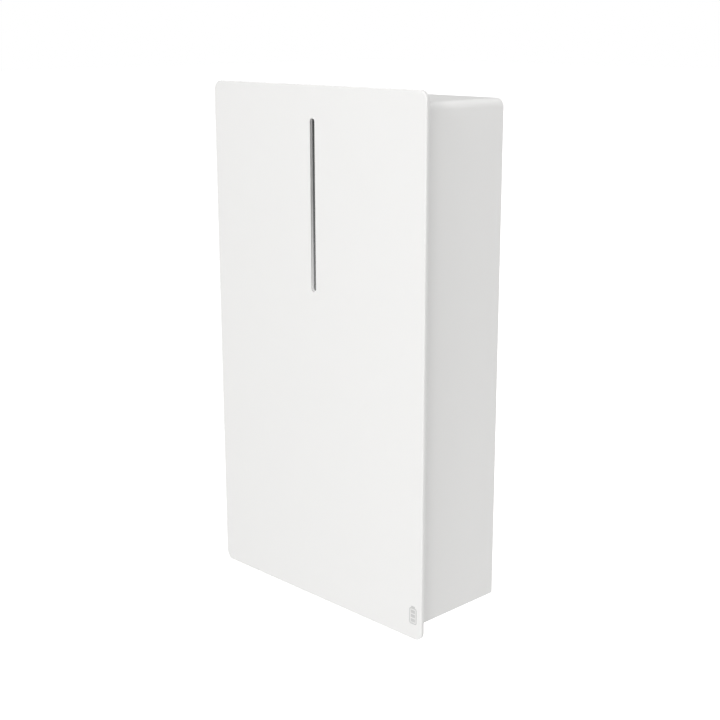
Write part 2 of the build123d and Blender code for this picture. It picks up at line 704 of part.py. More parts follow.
def heatsink():
    """Extruded base with upright fins towards the wall."""
    sink = block(HEATSINK_SPAN, (BASE_BACK, BASE_FRONT), (HEATSINK_LOW, HEATSINK_TOP))
    pitch = (HEATSINK_W - FIN_T) / (FIN_COUNT - 1)
    for i in range(FIN_COUNT):
        x = HEATSINK_SPAN[0] + i * pitch
        sink += block((x, x + FIN_T), (EQUIP_FRONT, BASE_BACK), (HEATSINK_LOW, HEATSINK_TOP))
    return sink


def power_transistors():
    """Two rows of three flat packages clamped to the heatsink's base."""
    width, thick, height = TRANSISTOR
    pieces = []
    for col in (-1, 0, 1):
        for z in (HEATSINK_LOW + HEATSINK_H / 4, HEATSINK_LOW + HEATSINK_H * 3 / 4):
            x = HEATSINK_X + col * HEATSINK_W / 4
            span = (x - width / 2, x + width / 2)
            pieces.append(block(span, (BASE_FRONT, BASE_FRONT + thick), (z, z + height)))
    return pieces


def power_inductor(col):
    """Wound ring choke lying on the board."""
    x = HEATSINK_X + col * (2 * INDUCTOR_R + 4)
    z = HEATSINK_TOP - INDUCTOR_R - 8
    ring = outwards(x, z, INDUCTOR_R, POWER_FRONT, POWER_FRONT + INDUCTOR_H)
    ring -= outwards(x, z, INDUCTOR_HOLE_R, POWER_FRONT, POWER_FRONT + INDUCTOR_H)
    return fillet(ring.edges().filter_by(GeomType.CIRCLE).group_by(Axis.Y)[0], INDUCTOR_H / 5)


def power_capacitor(i):
    """Can capacitor standing on the board."""
    step = HEATSINK_W / CAPACITORS
    x = HEATSINK_SPAN[0] + step / 2 + i * step
    z = HEATSINK_LOW + 2 * CAPACITOR_R + (i % 2) * 2 * CAPACITOR_R
    can = outwards(x, z, CAPACITOR_R, POWER_FRONT, POWER_FRONT + CAPACITOR_H)
    return fillet(can.edges().group_by(Axis.Y)[0], 1.0)


def fan_frame():
    """Square frame round a duct, with a stator cup on three struts below the rotor."""
    x = (HEATSINK_X - FAN_SIZE / 2, HEATSINK_X + FAN_SIZE / 2)
    frame = block(x, (EQUIP_FRONT, EQUIP_FRONT + FAN_SIZE), (FAN_LOW, FAN_TOP))
    frame -= upright(HEATSINK_X, FAN_DEPTH, FAN_DUCT_R, FAN_LOW, FAN_TOP)
    for turn in range(3):
        strut = Pos(FAN_DUCT_R / 2 + 1, 0, 1.5) * Box(FAN_DUCT_R, 4, 3)
        frame += Pos(HEATSINK_X, -FAN_DEPTH, FAN_LOW) * Rot(0, 0, 90 + 120 * turn) * strut
    frame += upright(HEATSINK_X, FAN_DEPTH, FAN_STATOR_R, FAN_LOW, FAN_LOW + FAN_STATOR_H)
    return frame - upright(HEATSINK_X, FAN_DEPTH, FAN_SHAFT_R + FIT, FAN_LOW + 1, FAN_LOW + FAN_STATOR_H)


def fan_rotor():
    """Hub with pitched blades and a steel shaft down into the stator."""
    low = FAN_LOW + FAN_STATOR_H + 1
    high = FAN_TOP - 2
    rotor = upright(HEATSINK_X, FAN_DEPTH, FAN_HUB_R, low, high)
    reach = FAN_DUCT_R - FAN_TIP_GAP - FAN_HUB_R
    blade = Pos(FAN_HUB_R + reach / 2 - 1, 0, 0) * Rot(FAN_PITCH, 0, 0) * Box(reach, 17, 1.4)
    for i in range(FAN_BLADES):
        rotor += Pos(HEATSINK_X, -FAN_DEPTH, (low + high) / 2) * Rot(0, 0, 360 / FAN_BLADES * i) * blade
    return rotor + upright(HEATSINK_X, FAN_DEPTH, FAN_SHAFT_R, FAN_LOW + 1 + CLEAR, low)


def bms_board():
    """Battery management board on four spacers."""
    x = (BMS_X - BMS_W / 2, BMS_X + BMS_W / 2)
    z = (BMS_TOP - BMS_H, BMS_TOP)
    return [block(x, (BMS_BACK, BMS_FRONT), z), *standoffs(x, z, EQUIP_FRONT, BMS_BACK)]


def bms_components():
    """Processor, memory, relays and plugs on the management board."""
    pieces = []
    mid_z = BMS_TOP - BMS_H / 2
    chips = ((0, 10, 22, 2.5), (-28, 25, 12, 2), (28, 25, 12, 2))
    relays = ((-30, -20, 16, 12), (-8, -20, 16, 12))
    for dx, dz, size, tall in chips + relays:
        x = BMS_X + dx
        z = mid_z + dz
        span = (x - size / 2, x + size / 2)
        pieces.append(block(span, (BMS_FRONT, BMS_FRONT + tall), (z - size / 2, z + size / 2)))
    for row in range(3):
        z = BMS_TOP - BMS_H + 14
        x = BMS_X - BMS_W / 2 + 24 + row * 31
        pieces.append(block((x - 12, x + 12), (BMS_FRONT, BMS_FRONT + 9), (z - 5, z + 5)))
    z = BMS_TOP - 13
    pieces.append(block((HARNESS_X - 12, HARNESS_X + 12), (BMS_FRONT, BMS_FRONT + 9), (z - 5, z + 5)))
    return pieces


power_span_z = (HEATSINK_LOW, HEATSINK_TOP)
power_board = block(HEATSINK_SPAN, (POWER_BACK, POWER_FRONT), power_span_z)
save("heatsink", heatsink())
save("power_transistors", *power_transistors())
save("power_board", power_board, *standoffs(HEATSINK_SPAN, power_span_z, BASE_FRONT, POWER_BACK))
save("power_inductors", *[power_inductor(col) for col in (-1, 0, 1)])
save("power_capacitors", *[power_capacitor(i) for i in range(CAPACITORS)])
save("fan_frame", fan_frame())
save("fan_rotor", fan_rotor())
save("bms_board", *bms_board())
save("bms_components", *bms_components())

# ---------------------------------------------------------------- switchgear
CONTACTOR = (60.0, 55.0, 70.0)  # width, depth, height
CONTACTOR_X = (115.0, 195.0)
CONTACTOR_TOP = BAY_TOP - 38.0
CONTACTOR_STUD_R = 4.0
CONTACTOR_STUD_L = 10.0
CONTACTOR_STUD_X = 16.0
CONTACTOR_STUD_DROP = 50.0
FUSE_R = 11.0
FUSE_L = 48.0
FUSE_CAP = 14.0
FUSE_Z = BAY_TOP - 135.0
FUSE_DEPTH = 46.0
SHUNT_X = 205.0
SHUNT_L = 60.0
RAIL_Z = BAY_TOP - 195.0
RAIL_SPAN = (85.0, EQUIP_W / 2 - EQUIP_EDGE)
RAIL_H = 35.0
RAIL_D = 7.5
RAIL_T = 1.0
BREAKER_X = 112.0
BREAKER_W = 36.0
BREAKER_H = 82.0
BREAKER_D = 50.0
BREAKER_NOSE_H = 45.0
BREAKER_NOSE_D = 12.0
LEVER_WINDOW_W = 28.0
LEVER_WINDOW_H = 26.0
LEVER_BARREL_R = 7.0
LEVER_PIN_R = 1.5
LEVER_TILT = 25.0
LEVER_REACH = 22.0
LEVER_T = 5.0
TERMINAL_X = 146.0
TERMINAL_PITCH = 12.0
TERMINALS = 6
CABLE_R = 5.0
CABLE_SPREAD = 13.0  # the two cables stand this far either side of the tabs
NEGATIVE_Z = BAY_TOP - 61.0
CABLE_GAP = 0.7  # between the cables and the link bars
CABLE_BEND = 45.0
LUG_T = 2.0

RAIL_FRONT = EQUIP_FRONT + RAIL_D
BREAKER_FRONT = RAIL_FRONT + BREAKER_D
NOSE_FRONT = BREAKER_FRONT + BREAKER_NOSE_D
LEVER_DEPTH = BREAKER_FRONT + 3.0
CONTACTOR_FRONT = EQUIP_FRONT + CONTACTOR[1]
POSITIVE_Z = CONTACTOR_TOP - CONTACTOR_STUD_DROP
OUTER_BEND = CABLE_BEND + NEGATIVE_Z - POSITIVE_Z
SHUNT_BEND = (NEGATIVE_Z - FUSE_Z) * 0.45
CABLE_DEPTH = MODULE_FRONT + TAB_REACH + BUSBAR_T + CABLE_GAP + CABLE_R


def contactor(x):
    """Sealed contactor with two studs on its face."""
    width, _, height = CONTACTOR
    span = (x - width / 2, x + width / 2)
    body = block(span, (EQUIP_FRONT, CONTACTOR_FRONT), (CONTACTOR_TOP - height, CONTACTOR_TOP))
    body = fillet(body.edges().filter_by(Axis.Y), 4.0)
    tip = CONTACTOR_FRONT + CONTACTOR_STUD_L
    for side in (-CONTACTOR_STUD_X, CONTACTOR_STUD_X):
        body += outwards(x + side, POSITIVE_Z, CONTACTOR_STUD_R, CONTACTOR_FRONT, tip)
    return body


def main_fuse():
    """Cylinder fuse with end caps, held in two clips on a base."""
    x = (CONTACTOR_X[0] - FUSE_L / 2, CONTACTOR_X[0] + FUSE_L / 2)
    base = block(x, (EQUIP_FRONT, EQUIP_FRONT + 8), (FUSE_Z - 9, FUSE_Z + 9))
    link = sideways((x[0] + FUSE_CAP, x[1] - FUSE_CAP), FUSE_DEPTH, FUSE_Z, FUSE_R)
    link += sideways(x, FUSE_DEPTH, FUSE_Z, FUSE_R - 1)
    for low in (x[0] + 2, x[1] - FUSE_CAP + 2):
        clip = (low, low + FUSE_CAP - 4)
        base += block(clip, (EQUIP_FRONT + 8, FUSE_DEPTH), (FUSE_Z - 6, FUSE_Z + 6))
    return base - sideways(x, FUSE_DEPTH, FUSE_Z, FUSE_R - 1), link


def current_shunt():
    """Two brass blocks joined by resistance strips, on an insulating base."""
    x = (SHUNT_X - SHUNT_L / 2, SHUNT_X + SHUNT_L / 2)
    depth = (EQUIP_FRONT + 10, EQUIP_FRONT + 24)
    z = (FUSE_Z - 9, FUSE_Z + 9)
    base = block(x, (EQUIP_FRONT, depth[0]), z)
    bar = block((x[0], x[0] + 20), depth, z) + block((x[1] - 20, x[1]), depth, z)
    for near in (depth[0] + 2, depth[0] + 7, depth[0] + 12):
        bar += block((x[0] + 20, x[1] - 20), (near, near + 1), (FUSE_Z - 7, FUSE_Z + 7))
    return base, bar


def fuse_link():
    """Copper bar from the first contactor's stud down to the fuse's end cap."""
    x = CONTACTOR_X[0] + CONTACTOR_STUD_X
    span = (x - 5, x + 5)
    face = CONTACTOR_FRONT + CONTACTOR_STUD_L
    low = FUSE_Z + FUSE_R - 1
    bar = block(span, (face, face + BUSBAR_T), (low, POSITIVE_Z + 6))
    return bar + block(span, (FUSE_DEPTH, face), (low, low + BUSBAR_T))


def din_rail():
    """Top-hat rail."""
    low = RAIL_Z - RAIL_H / 2
    high = RAIL_Z + RAIL_H / 2
    brim = 5.0
    rail = block(RAIL_SPAN, (EQUIP_FRONT, EQUIP_FRONT + RAIL_T), (low + brim, high - brim))
    for edge, leg in ((low, low + brim), (high - brim, high - brim - RAIL_T)):
        rail += block(RAIL_SPAN, (EQUIP_FRONT, RAIL_FRONT), (leg, leg + RAIL_T))
        rail += block(RAIL_SPAN, (RAIL_FRONT - RAIL_T, RAIL_FRONT), (edge, edge + brim))
    return rail


def dc_breaker():
    """Two-pole breaker on the rail, with a window for its toggle and the toggle's pin across it."""
    x = (BREAKER_X - BREAKER_W / 2, BREAKER_X + BREAKER_W / 2)
    nose = (RAIL_Z - BREAKER_NOSE_H / 2, RAIL_Z + BREAKER_NOSE_H / 2)
    opening = (RAIL_Z - LEVER_WINDOW_H / 2, RAIL_Z + LEVER_WINDOW_H / 2)
    body = block(x, (RAIL_FRONT, BREAKER_FRONT), (RAIL_Z - BREAKER_H / 2, RAIL_Z + BREAKER_H / 2))
    body += block(x, (BREAKER_FRONT, NOSE_FRONT), nose)
    window = (BREAKER_X - LEVER_WINDOW_W / 2, BREAKER_X + LEVER_WINDOW_W / 2)
    window_back = LEVER_DEPTH - LEVER_BARREL_R - 1
    body -= block(window, (window_back, NOSE_FRONT), opening)
    return body + sideways(window, LEVER_DEPTH, RAIL_Z, LEVER_PIN_R)


def breaker_lever():
    """Toggle on its pin, tipped up to the on position."""
    half = LEVER_WINDOW_W / 2 - CLEAR
    span = (-half, half)
    toggle = sideways(span, 0, 0, LEVER_BARREL_R)
    toggle += block(span, (0, LEVER_REACH), (-LEVER_T / 2, LEVER_T / 2))
    toggle -= sideways(span, 0, 0, LEVER_PIN_R + FIT)
    return Pos(BREAKER_X, -LEVER_DEPTH, RAIL_Z) * Rot(-LEVER_TILT, 0, 0) * toggle


def terminal_block(i):
    """One rail terminal with a wire entry and a screw well on its face."""
    x = TERMINAL_X + i * TERMINAL_PITCH
    low = RAIL_Z - 30
    high = RAIL_Z + 30
    span = (x - TERMINAL_PITCH / 2, x + TERMINAL_PITCH / 2)
    body = block(span, (RAIL_FRONT, RAIL_FRONT + 36), (low, high))
    for z in (low + 10, high - 10):
        body -= outwards(x, z, 3.0, RAIL_FRONT + 24, RAIL_FRONT + 36)
    return body


def tube(points, bends, r):
    """Cable of radius r along straight runs joined by tangent arcs."""
    path = FilletPolyline(*points, radius=bends)
    return sweep(Plane(origin=path @ 0, z_dir=path % 0) * Circle(r), path=path)


def positive_cable():
    """From the top module down the left side and across to the first contactor."""
    x = cell_x(0) - CABLE_SPREAD
    top = floor_of(MODULES - 1) + CELL_H + CELL_TERMINAL_H + BUSBAR_T
    end_x = CONTACTOR_X[0] - CONTACTOR_STUD_X
    end = CONTACTOR_FRONT + CONTACTOR_STUD_L
    corners = [
        (x, -CABLE_DEPTH, top),
        (x, -CABLE_DEPTH, POSITIVE_Z),
        (end_x, -CABLE_DEPTH, POSITIVE_Z),
        (end_x, -end, POSITIVE_Z),
    ]
    return tube(corners, (OUTER_BEND, CABLE_BEND), CABLE_R)


def negative_cable():
    """From the bottom module across to the shunt."""
    x = cell_x(0) + CABLE_SPREAD
    top = floor_of(0) + CELL_H + CELL_TERMINAL_H + BUSBAR_T
    end = EQUIP_FRONT + 24
    corners = [
        (x, -CABLE_DEPTH, top),
        (x, -CABLE_DEPTH, NEGATIVE_Z),
        (SHUNT_X + SHUNT_L / 3, -CABLE_DEPTH, NEGATIVE_Z),
        (SHUNT_X + SHUNT_L / 3, -CABLE_DEPTH, FUSE_Z),
        (SHUNT_X + SHUNT_L / 3, -end, FUSE_Z),
    ]
    return tube(corners, (CABLE_BEND, SHUNT_BEND, SHUNT_BEND), CABLE_R)


def cable_lug(x, module):
    """Flat lug on a module's tab, reaching out over the end of its cable."""
    low = floor_of(module) + CELL_H + CELL_TERMINAL_H + BUSBAR_T
    tab_x = cell_x(0)
    span = (min(x, tab_x) - CABLE_R - 1, max(x, tab_x) + CABLE_R + 1)
    return block(span, (MODULE_FRONT + CLEAR, CABLE_DEPTH + CABLE_R), (low, low + LUG_T))


def monitor_harness():
    """Bundle down the plugs of the monitoring boards and back to the management board."""
    plug_front = MODULE_FRONT + STRAP_T + MONITOR_STANDOFF + BOARD_T + 7
    depth = plug_front + CLEAR / 2 + HARNESS_R
    top = floor_of(MODULES - 1) + sum(STRAP_RISES) / 2 + 6
    end = BMS_FRONT + 9
    low = BMS_TOP - 13
    corners = [(HARNESS_X, -depth, top), (HARNESS_X, -depth, low), (HARNESS_X, -end, low)]
    return tube(corners, (HARNESS_BEND,), HARNESS_R)


fuse_base, fuse_body = main_fuse()
shunt_base, shunt_bar = current_shunt()
save("contactors", *[contactor(x) for x in CONTACTOR_X])
save("fuse_holder", fuse_base)
save("main_fuse", fuse_body)
save("current_shunt", shunt_base, shunt_bar)
save("equipment_plate", equipment_plate(), din_rail())
save("dc_breaker", dc_breaker())
save("breaker_lever", breaker_lever())
save("terminal_blocks", *[terminal_block(i) for i in range(TERMINALS)])
save("power_cables", positive_cable(), negative_cable())
copper_bars += [cable_lug(cell_x(0) - CABLE_SPREAD, MODULES - 1), cable_lug(cell_x(0) + CABLE_SPREAD, 0)]
save("copper_bars", *copper_bars, fuse_link())
save("monitor_harness", monitor_harness())

# ---------------------------------------------------------------- gland plate and what passes through it
ISOLATOR_X = -150.0
ISOLATOR_BODY = 48.0
ISOLATOR_H = 42.0
ISOLATOR_NECK_R = 10.0
ISOLATOR_SHAFT_R = 3.0
ISOLATOR_SHAFT_L = 20.0  # inside the body
DIAL_R = 24.0
DIAL_T = 2.0
KNOB_R = 19.0
KNOB_H = 9.0
KNOB_GAP = 0.5
GRIP_W = 9.0
GRIP_H = 13.0
BUTTON_X = -85.0
BUTTON_R = 6.0
BUTTON_BARREL_R = 8.0
BUTTON_BEZEL_R = 11.0
BUTTON_BEZEL_T = 3.0
BUTTON_PROUD = 2.5
BUTTON_TRAVEL = 2.0
BUTTON_L = 16.0
BARREL_H = 24.0  # above the gland plate
PORT_X = -25.0
PORT_W = 34.0
PORT_D = 16.0
PORT_H = 14.0
PORT_CUT = (12.0, 9.0, 11.0)  # width, depth, height of one socket
PORT_PITCH = 15.0
GLAND_HEX_R = 17.0
GLAND_HEX_H = 6.0
GLAND_SPIGOT_R = 11.5
GLAND_SPIGOT_H = 10.0
GLAND_SLEEVE = 1.5
GLAND_NUT_H = 19.0
GLAND_NUT_LIP = 4.0
LOCKNUT_H = 5.0
EARTH_X = GLAND_PLATE_W / 2 - 27.0
EARTH_R = 3.0
EARTH_L = 18.0  # below the gland plate
EARTH_SHANK_R = 4.0
EARTH_COLLAR_R = 7.5
EARTH_COLLAR_H = 5.0
VENT_X = -EARTH_X
VENT_R = 6.0
VENT_CAP_R = 9.0
VENT_CAP_H = 5.0
PLATE_SCREW_INSET = 7.0

BUTTON_LOW = GLAND_UNDER - BUTTON_BEZEL_T - BUTTON_PROUD
GLAND_X_ALL = [GLAND_X + i * GLAND_PITCH for i in range(GLANDS)]
MID = GLAND_PLATE_DEPTH


def hexagon(x, r, low, high):
    """Hexagonal bar along Z on the gland plate's centre line."""
    return extrude(Pos(x, -MID, low) * RegularPolygon(r, 6), amount=high - low)


def ring(x, outer, inner, low, high):
    """Round sleeve along Z on the gland plate's centre line."""
    return upright(x, MID, outer, low, high) - upright(x, MID, inner, low, high)


def gland_plate_screw_places():
    """Eight screws round the gland plate's edge."""
    x_edge = GLAND_PLATE_W / 2 - PLATE_SCREW_INSET
    d_edge = GLAND_PLATE_D / 2 - PLATE_SCREW_INSET
    return [(x, MID + d) for x in (-x_edge, -x_edge / 3, x_edge / 3, x_edge) for d in (-d_edge, d_edge)]


def gland_plate():
    """Aluminium plate that closes the case from below and carries every connection."""
    half = GLAND_PLATE_W / 2
    depth = (MID - GLAND_PLATE_D / 2, MID + GLAND_PLATE_D / 2)
    plate = block((-half, half), depth, (GLAND_UNDER, GLAND_TOP))
    plate = fillet(plate.edges().filter_by(Axis.Z), 6.0)
    holes = [(x, GLAND_THREAD_R) for x in GLAND_X_ALL]
    holes += [(ISOLATOR_X, ISOLATOR_NECK_R), (BUTTON_X, BUTTON_BARREL_R)]
    holes += [(EARTH_X, EARTH_SHANK_R), (VENT_X, VENT_R)]
    for x, r in holes:
        plate -= upright(x, MID, r + FIT, GLAND_UNDER, GLAND_TOP)
    for x, depth_at in gland_plate_screw_places():
        plate -= upright(x, depth_at, SCREW_R + FIT, GLAND_UNDER, GLAND_TOP)
    port = (PORT_X - PORT_W / 2 - CLEAR, PORT_X + PORT_W / 2 + CLEAR)
    port_depth = (MID - PORT_D / 2 - CLEAR, MID + PORT_D / 2 + CLEAR)
    return plate - block(port, port_depth, (GLAND_UNDER, GLAND_TOP))


def gland_plate_seal():
    """Flat rubber frame between the gland plate and the case."""
    half = GLAND_PLATE_W / 2
    depth = (MID - GLAND_PLATE_D / 2, MID + GLAND_PLATE_D / 2)
    seal = block((-half, half), depth, (GLAND_TOP, CASE_BOTTOM))
    inner = half - GLAND_CUT
    inner_depth = (depth[0] + GLAND_CUT, depth[1] - GLAND_CUT)
    seal -= block((-inner, inner), inner_depth, (GLAND_TOP, CASE_BOTTOM))
    for x, depth_at in gland_plate_screw_places():
        seal -= upright(x, depth_at, SCREW_R + FIT, GLAND_TOP, CASE_BOTTOM)
    return seal


def gland_plate_screw(x, depth):
    """Pan-head screw up to the underside of the case."""
    head = upright(x, depth, SCREW_HEAD_R, GLAND_UNDER - 2, GLAND_UNDER)
    return head + upright(x, depth, SCREW_R, GLAND_UNDER, CASE_BOTTOM)


def isolator_body():
    """Rotary switch on the gland plate, with a neck through it and a blind bore for the knob's shaft."""
    half = ISOLATOR_BODY / 2
    span = (ISOLATOR_X - half, ISOLATOR_X + half)
    body = block(span, (MID - half, MID + half), (GLAND_TOP, GLAND_TOP + ISOLATOR_H))
    body = fillet(body.edges().filter_by(Axis.Z), 3.0)
    body += upright(ISOLATOR_X, MID, ISOLATOR_NECK_R, GLAND_UNDER, GLAND_TOP)
    bore_top = GLAND_UNDER + ISOLATOR_SHAFT_L + CLEAR
    return body - upright(ISOLATOR_X, MID, ISOLATOR_SHAFT_R + FIT, GLAND_UNDER, bore_top)


def isolator_dial():
    """Round backing plate under the knob."""
    return ring(ISOLATOR_X, DIAL_R, ISOLATOR_SHAFT_R + 2, GLAND_UNDER - DIAL_T, GLAND_UNDER)


def isolator_knob():
    """Knob with a bar grip, on its shaft."""
    top = GLAND_UNDER - DIAL_T - KNOB_GAP
    knob = upright(ISOLATOR_X, MID, KNOB_R, top - KNOB_H, top)
    grip = (MID - KNOB_R + 1, MID + KNOB_R - 1)
    grip_x = (ISOLATOR_X - GRIP_W / 2, ISOLATOR_X + GRIP_W / 2)
    knob += block(grip_x, grip, (top - KNOB_H - GRIP_H, top - KNOB_H))
    knob = fillet(knob.edges().group_by(Axis.Z)[0], 1.5)
    return knob + upright(ISOLATOR_X, MID, ISOLATOR_SHAFT_R, top, GLAND_UNDER + ISOLATOR_SHAFT_L)


def button_housing():
    """Barrel through the gland plate with a bezel below, blind above."""
    barrel_top = GLAND_TOP + BARREL_H
    housing = upright(BUTTON_X, MID, BUTTON_BARREL_R, GLAND_UNDER, barrel_top)
    housing += upright(BUTTON_X, MID, BUTTON_BEZEL_R, GLAND_UNDER - BUTTON_BEZEL_T, GLAND_UNDER)
    bore_top = BUTTON_LOW + BUTTON_L + BUTTON_TRAVEL + CLEAR
    return housing - upright(BUTTON_X, MID, BUTTON_R + FIT, GLAND_UNDER - BUTTON_BEZEL_T, bore_top)


def power_button():
    """Round plunger with a domed edge."""
    cap = upright(BUTTON_X, MID, BUTTON_R, BUTTON_LOW, BUTTON_LOW + BUTTON_L)
    return fillet(cap.edges().group_by(Axis.Z)[0], 1.0)


def comm_ports():
    """Twin socket block through the gland plate, open below."""
    x = (PORT_X - PORT_W / 2, PORT_X + PORT_W / 2)
    depth = (MID - PORT_D / 2, MID + PORT_D / 2)
    body = block(x, depth, (GLAND_UNDER, GLAND_UNDER + PORT_H))
    width, deep, tall = PORT_CUT
    for mid in (PORT_X - PORT_PITCH / 2, PORT_X + PORT_PITCH / 2):
        socket = (mid - width / 2, mid + width / 2)
        body -= block(socket, (MID - deep / 2, MID + deep / 2), (GLAND_UNDER, GLAND_UNDER + tall))
    return body


def port_board():
    """Small board on top of the sockets, with four spacers down to the gland plate."""
    x = (PORT_X - PORT_W / 2 - 12, PORT_X + PORT_W / 2 + 12)
    depth = (MID - PORT_D / 2 - 12, MID + PORT_D / 2 + 12)
    low = GLAND_UNDER + PORT_H
    pieces = [block(x, depth, (low, low + BOARD_T))]
    for px in (x[0] + 6, x[1] - 6):
        for pd in (depth[0] + 6, depth[1] - 6):
            pieces.append(upright(px, pd, 3.0, GLAND_TOP, low))
    return pieces


def gland_body(x):
    """Threaded neck through the plate, a hexagon against it and a spigot for the clamping nut."""
    hex_low = GLAND_UNDER - GLAND_HEX_H
    low = hex_low - GLAND_SPIGOT_H
    high = GLAND_TOP + LOCKNUT_H + 3
    body = upright(x, MID, GLAND_THREAD_R, GLAND_UNDER, high)
    body += hexagon(x, GLAND_HEX_R, hex_low, GLAND_UNDER)
    body += upright(x, MID, GLAND_SPIGOT_R, low, hex_low)
    return body - upright(x, MID, GLAND_BORE_R + GLAND_SLEEVE, low, high)


def gland_nut(x):
    """Hexagonal clamping nut with a domed end, over the spigot."""
    high = GLAND_UNDER - GLAND_HEX_H - 1
    low = high - GLAND_NUT_H
    nut = hexagon(x, GLAND_HEX_R - 1, low + 5, high)
    nut += Pos(x, -MID, low + 2.5) * Cone(GLAND_SPIGOT_R + 0.5, GLAND_HEX_R - 3, 5)
    nut -= upright(x, MID, GLAND_SPIGOT_R + FIT, low + GLAND_NUT_LIP, high)
    return nut - upright(x, MID, GLAND_BORE_R + GLAND_SLEEVE + FIT, low, low + GLAND_NUT_LIP)


def gland_sleeve(x):
    """Rubber sleeve that seals round the cable."""
    low = GLAND_UNDER - GLAND_HEX_H - 1 - GLAND_NUT_H
    return ring(x, GLAND_BORE_R + GLAND_SLEEVE, GLAND_BORE_R, low, GLAND_UNDER)


def locknut(x, bore_r, r):
    """Thin hexagonal nut on top of the gland plate."""
    nut = hexagon(x, r, GLAND_TOP, GLAND_TOP + LOCKNUT_H)
    return nut - upright(x, MID, bore_r + FIT, GLAND_TOP, GLAND_TOP + LOCKNUT_H)


def earth_stud():
    """Stud with a hexagonal collar against the gland plate and a thicker shank up through it."""
    stud = upright(EARTH_X, MID, EARTH_R, GLAND_UNDER - EARTH_L, GLAND_UNDER - EARTH_COLLAR_H)
    stud += hexagon(EARTH_X, EARTH_COLLAR_R, GLAND_UNDER - EARTH_COLLAR_H, GLAND_UNDER)
    return stud + upright(EARTH_X, MID, EARTH_SHANK_R, GLAND_UNDER, GLAND_TOP + LOCKNUT_H + 1)


def vent_plug():
    """Breather plug with a ring of slots round its cap."""
    plug = upright(VENT_X, MID, VENT_R, GLAND_UNDER, GLAND_TOP + 3)
    plug += upright(VENT_X, MID, VENT_CAP_R, GLAND_UNDER - VENT_CAP_H, GLAND_UNDER)
    for i in range(6):
        place = Pos(
            VENT_X + VENT_CAP_R * cos(radians(60 * i)),
            -MID + VENT_CAP_R * sin(radians(60 * i)),
            GLAND_UNDER - VENT_CAP_H / 2,
        )
        plug -= place * Rot(0, 0, 60 * i) * Box(3, 2, 2)
    return plug


screw_places = gland_plate_screw_places()
save("gland_plate", gland_plate())
save("gland_plate_seal", gland_plate_seal())
hood_screws = [hood_screw(x, z) for x, z in STANDOFF_PLACES]
save("case_screws", *hood_screws, *[gland_plate_screw(x, d) for x, d in screw_places])
save("isolator_body", isolator_body())
save("isolator_dial", isolator_dial())
save("isolator_knob", isolator_knob())
save("button_housing", button_housing())
save("power_button", power_button())
save("comm_ports", comm_ports())
save("small_boards", *port_board(), *[piece for m in modules for piece in monitor_board(m)])
save("gland_bodies", *[gland_body(x) for x in GLAND_X_ALL])
gland_nuts = [gland_nut(x) for x in GLAND_X_ALL] + [locknut(x, GLAND_THREAD_R, GLAND_HEX_R) for x in GLAND_X_ALL]
save("gland_nuts", *gland_nuts, locknut(BUTTON_X, BUTTON_BARREL_R, BUTTON_BEZEL_R))
save("gland_sleeves", *[gland_sleeve(x) for x in GLAND_X_ALL])
save("earth_terminal", earth_stud(), locknut(EARTH_X, EARTH_SHANK_R, EARTH_COLLAR_R))
save("vent_plug", vent_plug())
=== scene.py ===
import math

import bmesh
import bpy
from mathutils import Matrix, Vector


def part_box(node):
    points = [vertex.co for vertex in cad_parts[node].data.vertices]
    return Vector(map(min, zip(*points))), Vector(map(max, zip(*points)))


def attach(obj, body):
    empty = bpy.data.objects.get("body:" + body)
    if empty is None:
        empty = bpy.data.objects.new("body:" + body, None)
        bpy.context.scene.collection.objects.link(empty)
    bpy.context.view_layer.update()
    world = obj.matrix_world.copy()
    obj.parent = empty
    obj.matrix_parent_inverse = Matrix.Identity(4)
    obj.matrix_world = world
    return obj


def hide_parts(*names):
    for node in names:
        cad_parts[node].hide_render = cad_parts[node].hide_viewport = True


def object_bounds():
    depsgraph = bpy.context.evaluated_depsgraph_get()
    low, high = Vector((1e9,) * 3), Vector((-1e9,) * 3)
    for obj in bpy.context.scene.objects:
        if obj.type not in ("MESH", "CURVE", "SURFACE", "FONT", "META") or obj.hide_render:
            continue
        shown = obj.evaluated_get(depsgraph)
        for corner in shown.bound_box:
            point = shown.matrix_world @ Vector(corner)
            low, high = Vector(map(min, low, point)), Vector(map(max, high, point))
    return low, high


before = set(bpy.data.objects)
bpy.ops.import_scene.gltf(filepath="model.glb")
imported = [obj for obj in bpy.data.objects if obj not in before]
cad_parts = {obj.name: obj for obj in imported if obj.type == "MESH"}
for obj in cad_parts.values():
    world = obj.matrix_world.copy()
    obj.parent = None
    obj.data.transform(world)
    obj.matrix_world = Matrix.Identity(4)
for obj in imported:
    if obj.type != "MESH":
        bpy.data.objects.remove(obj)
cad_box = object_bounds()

mm = 0.001
scene = bpy.context.scene

# ---------------------------------------------------------------- camera
# A long lens in front of the unit's right side and a little above its middle, looking slightly down.
# It is placed from the front bottom left corner of the front plate.
CAMERA_FROM_CORNER = Vector((2.0676, -1.6253, 1.0986))
CAMERA_TURN = Matrix.Rotation(math.radians(45.699), 3, "Z")
CAMERA_TILT = Matrix.Rotation(math.radians(90.0 - 14.358), 3, "X")
CAMERA_ROLL = Matrix.Rotation(math.radians(-0.108), 3, "Z")
plate_low, plate_high = (Vector(corner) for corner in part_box("front_plate"))
camera_data = bpy.data.cameras.new("camera")
camera_data.sensor_width = 36.0
camera_data.lens = 66.43
camera = bpy.data.objects.new("camera", camera_data)
scene.collection.objects.link(camera)
facing = (CAMERA_TURN @ CAMERA_TILT @ CAMERA_ROLL).to_4x4()
camera.matrix_world = Matrix.Translation(plate_low + CAMERA_FROM_CORNER) @ facing
scene.camera = camera

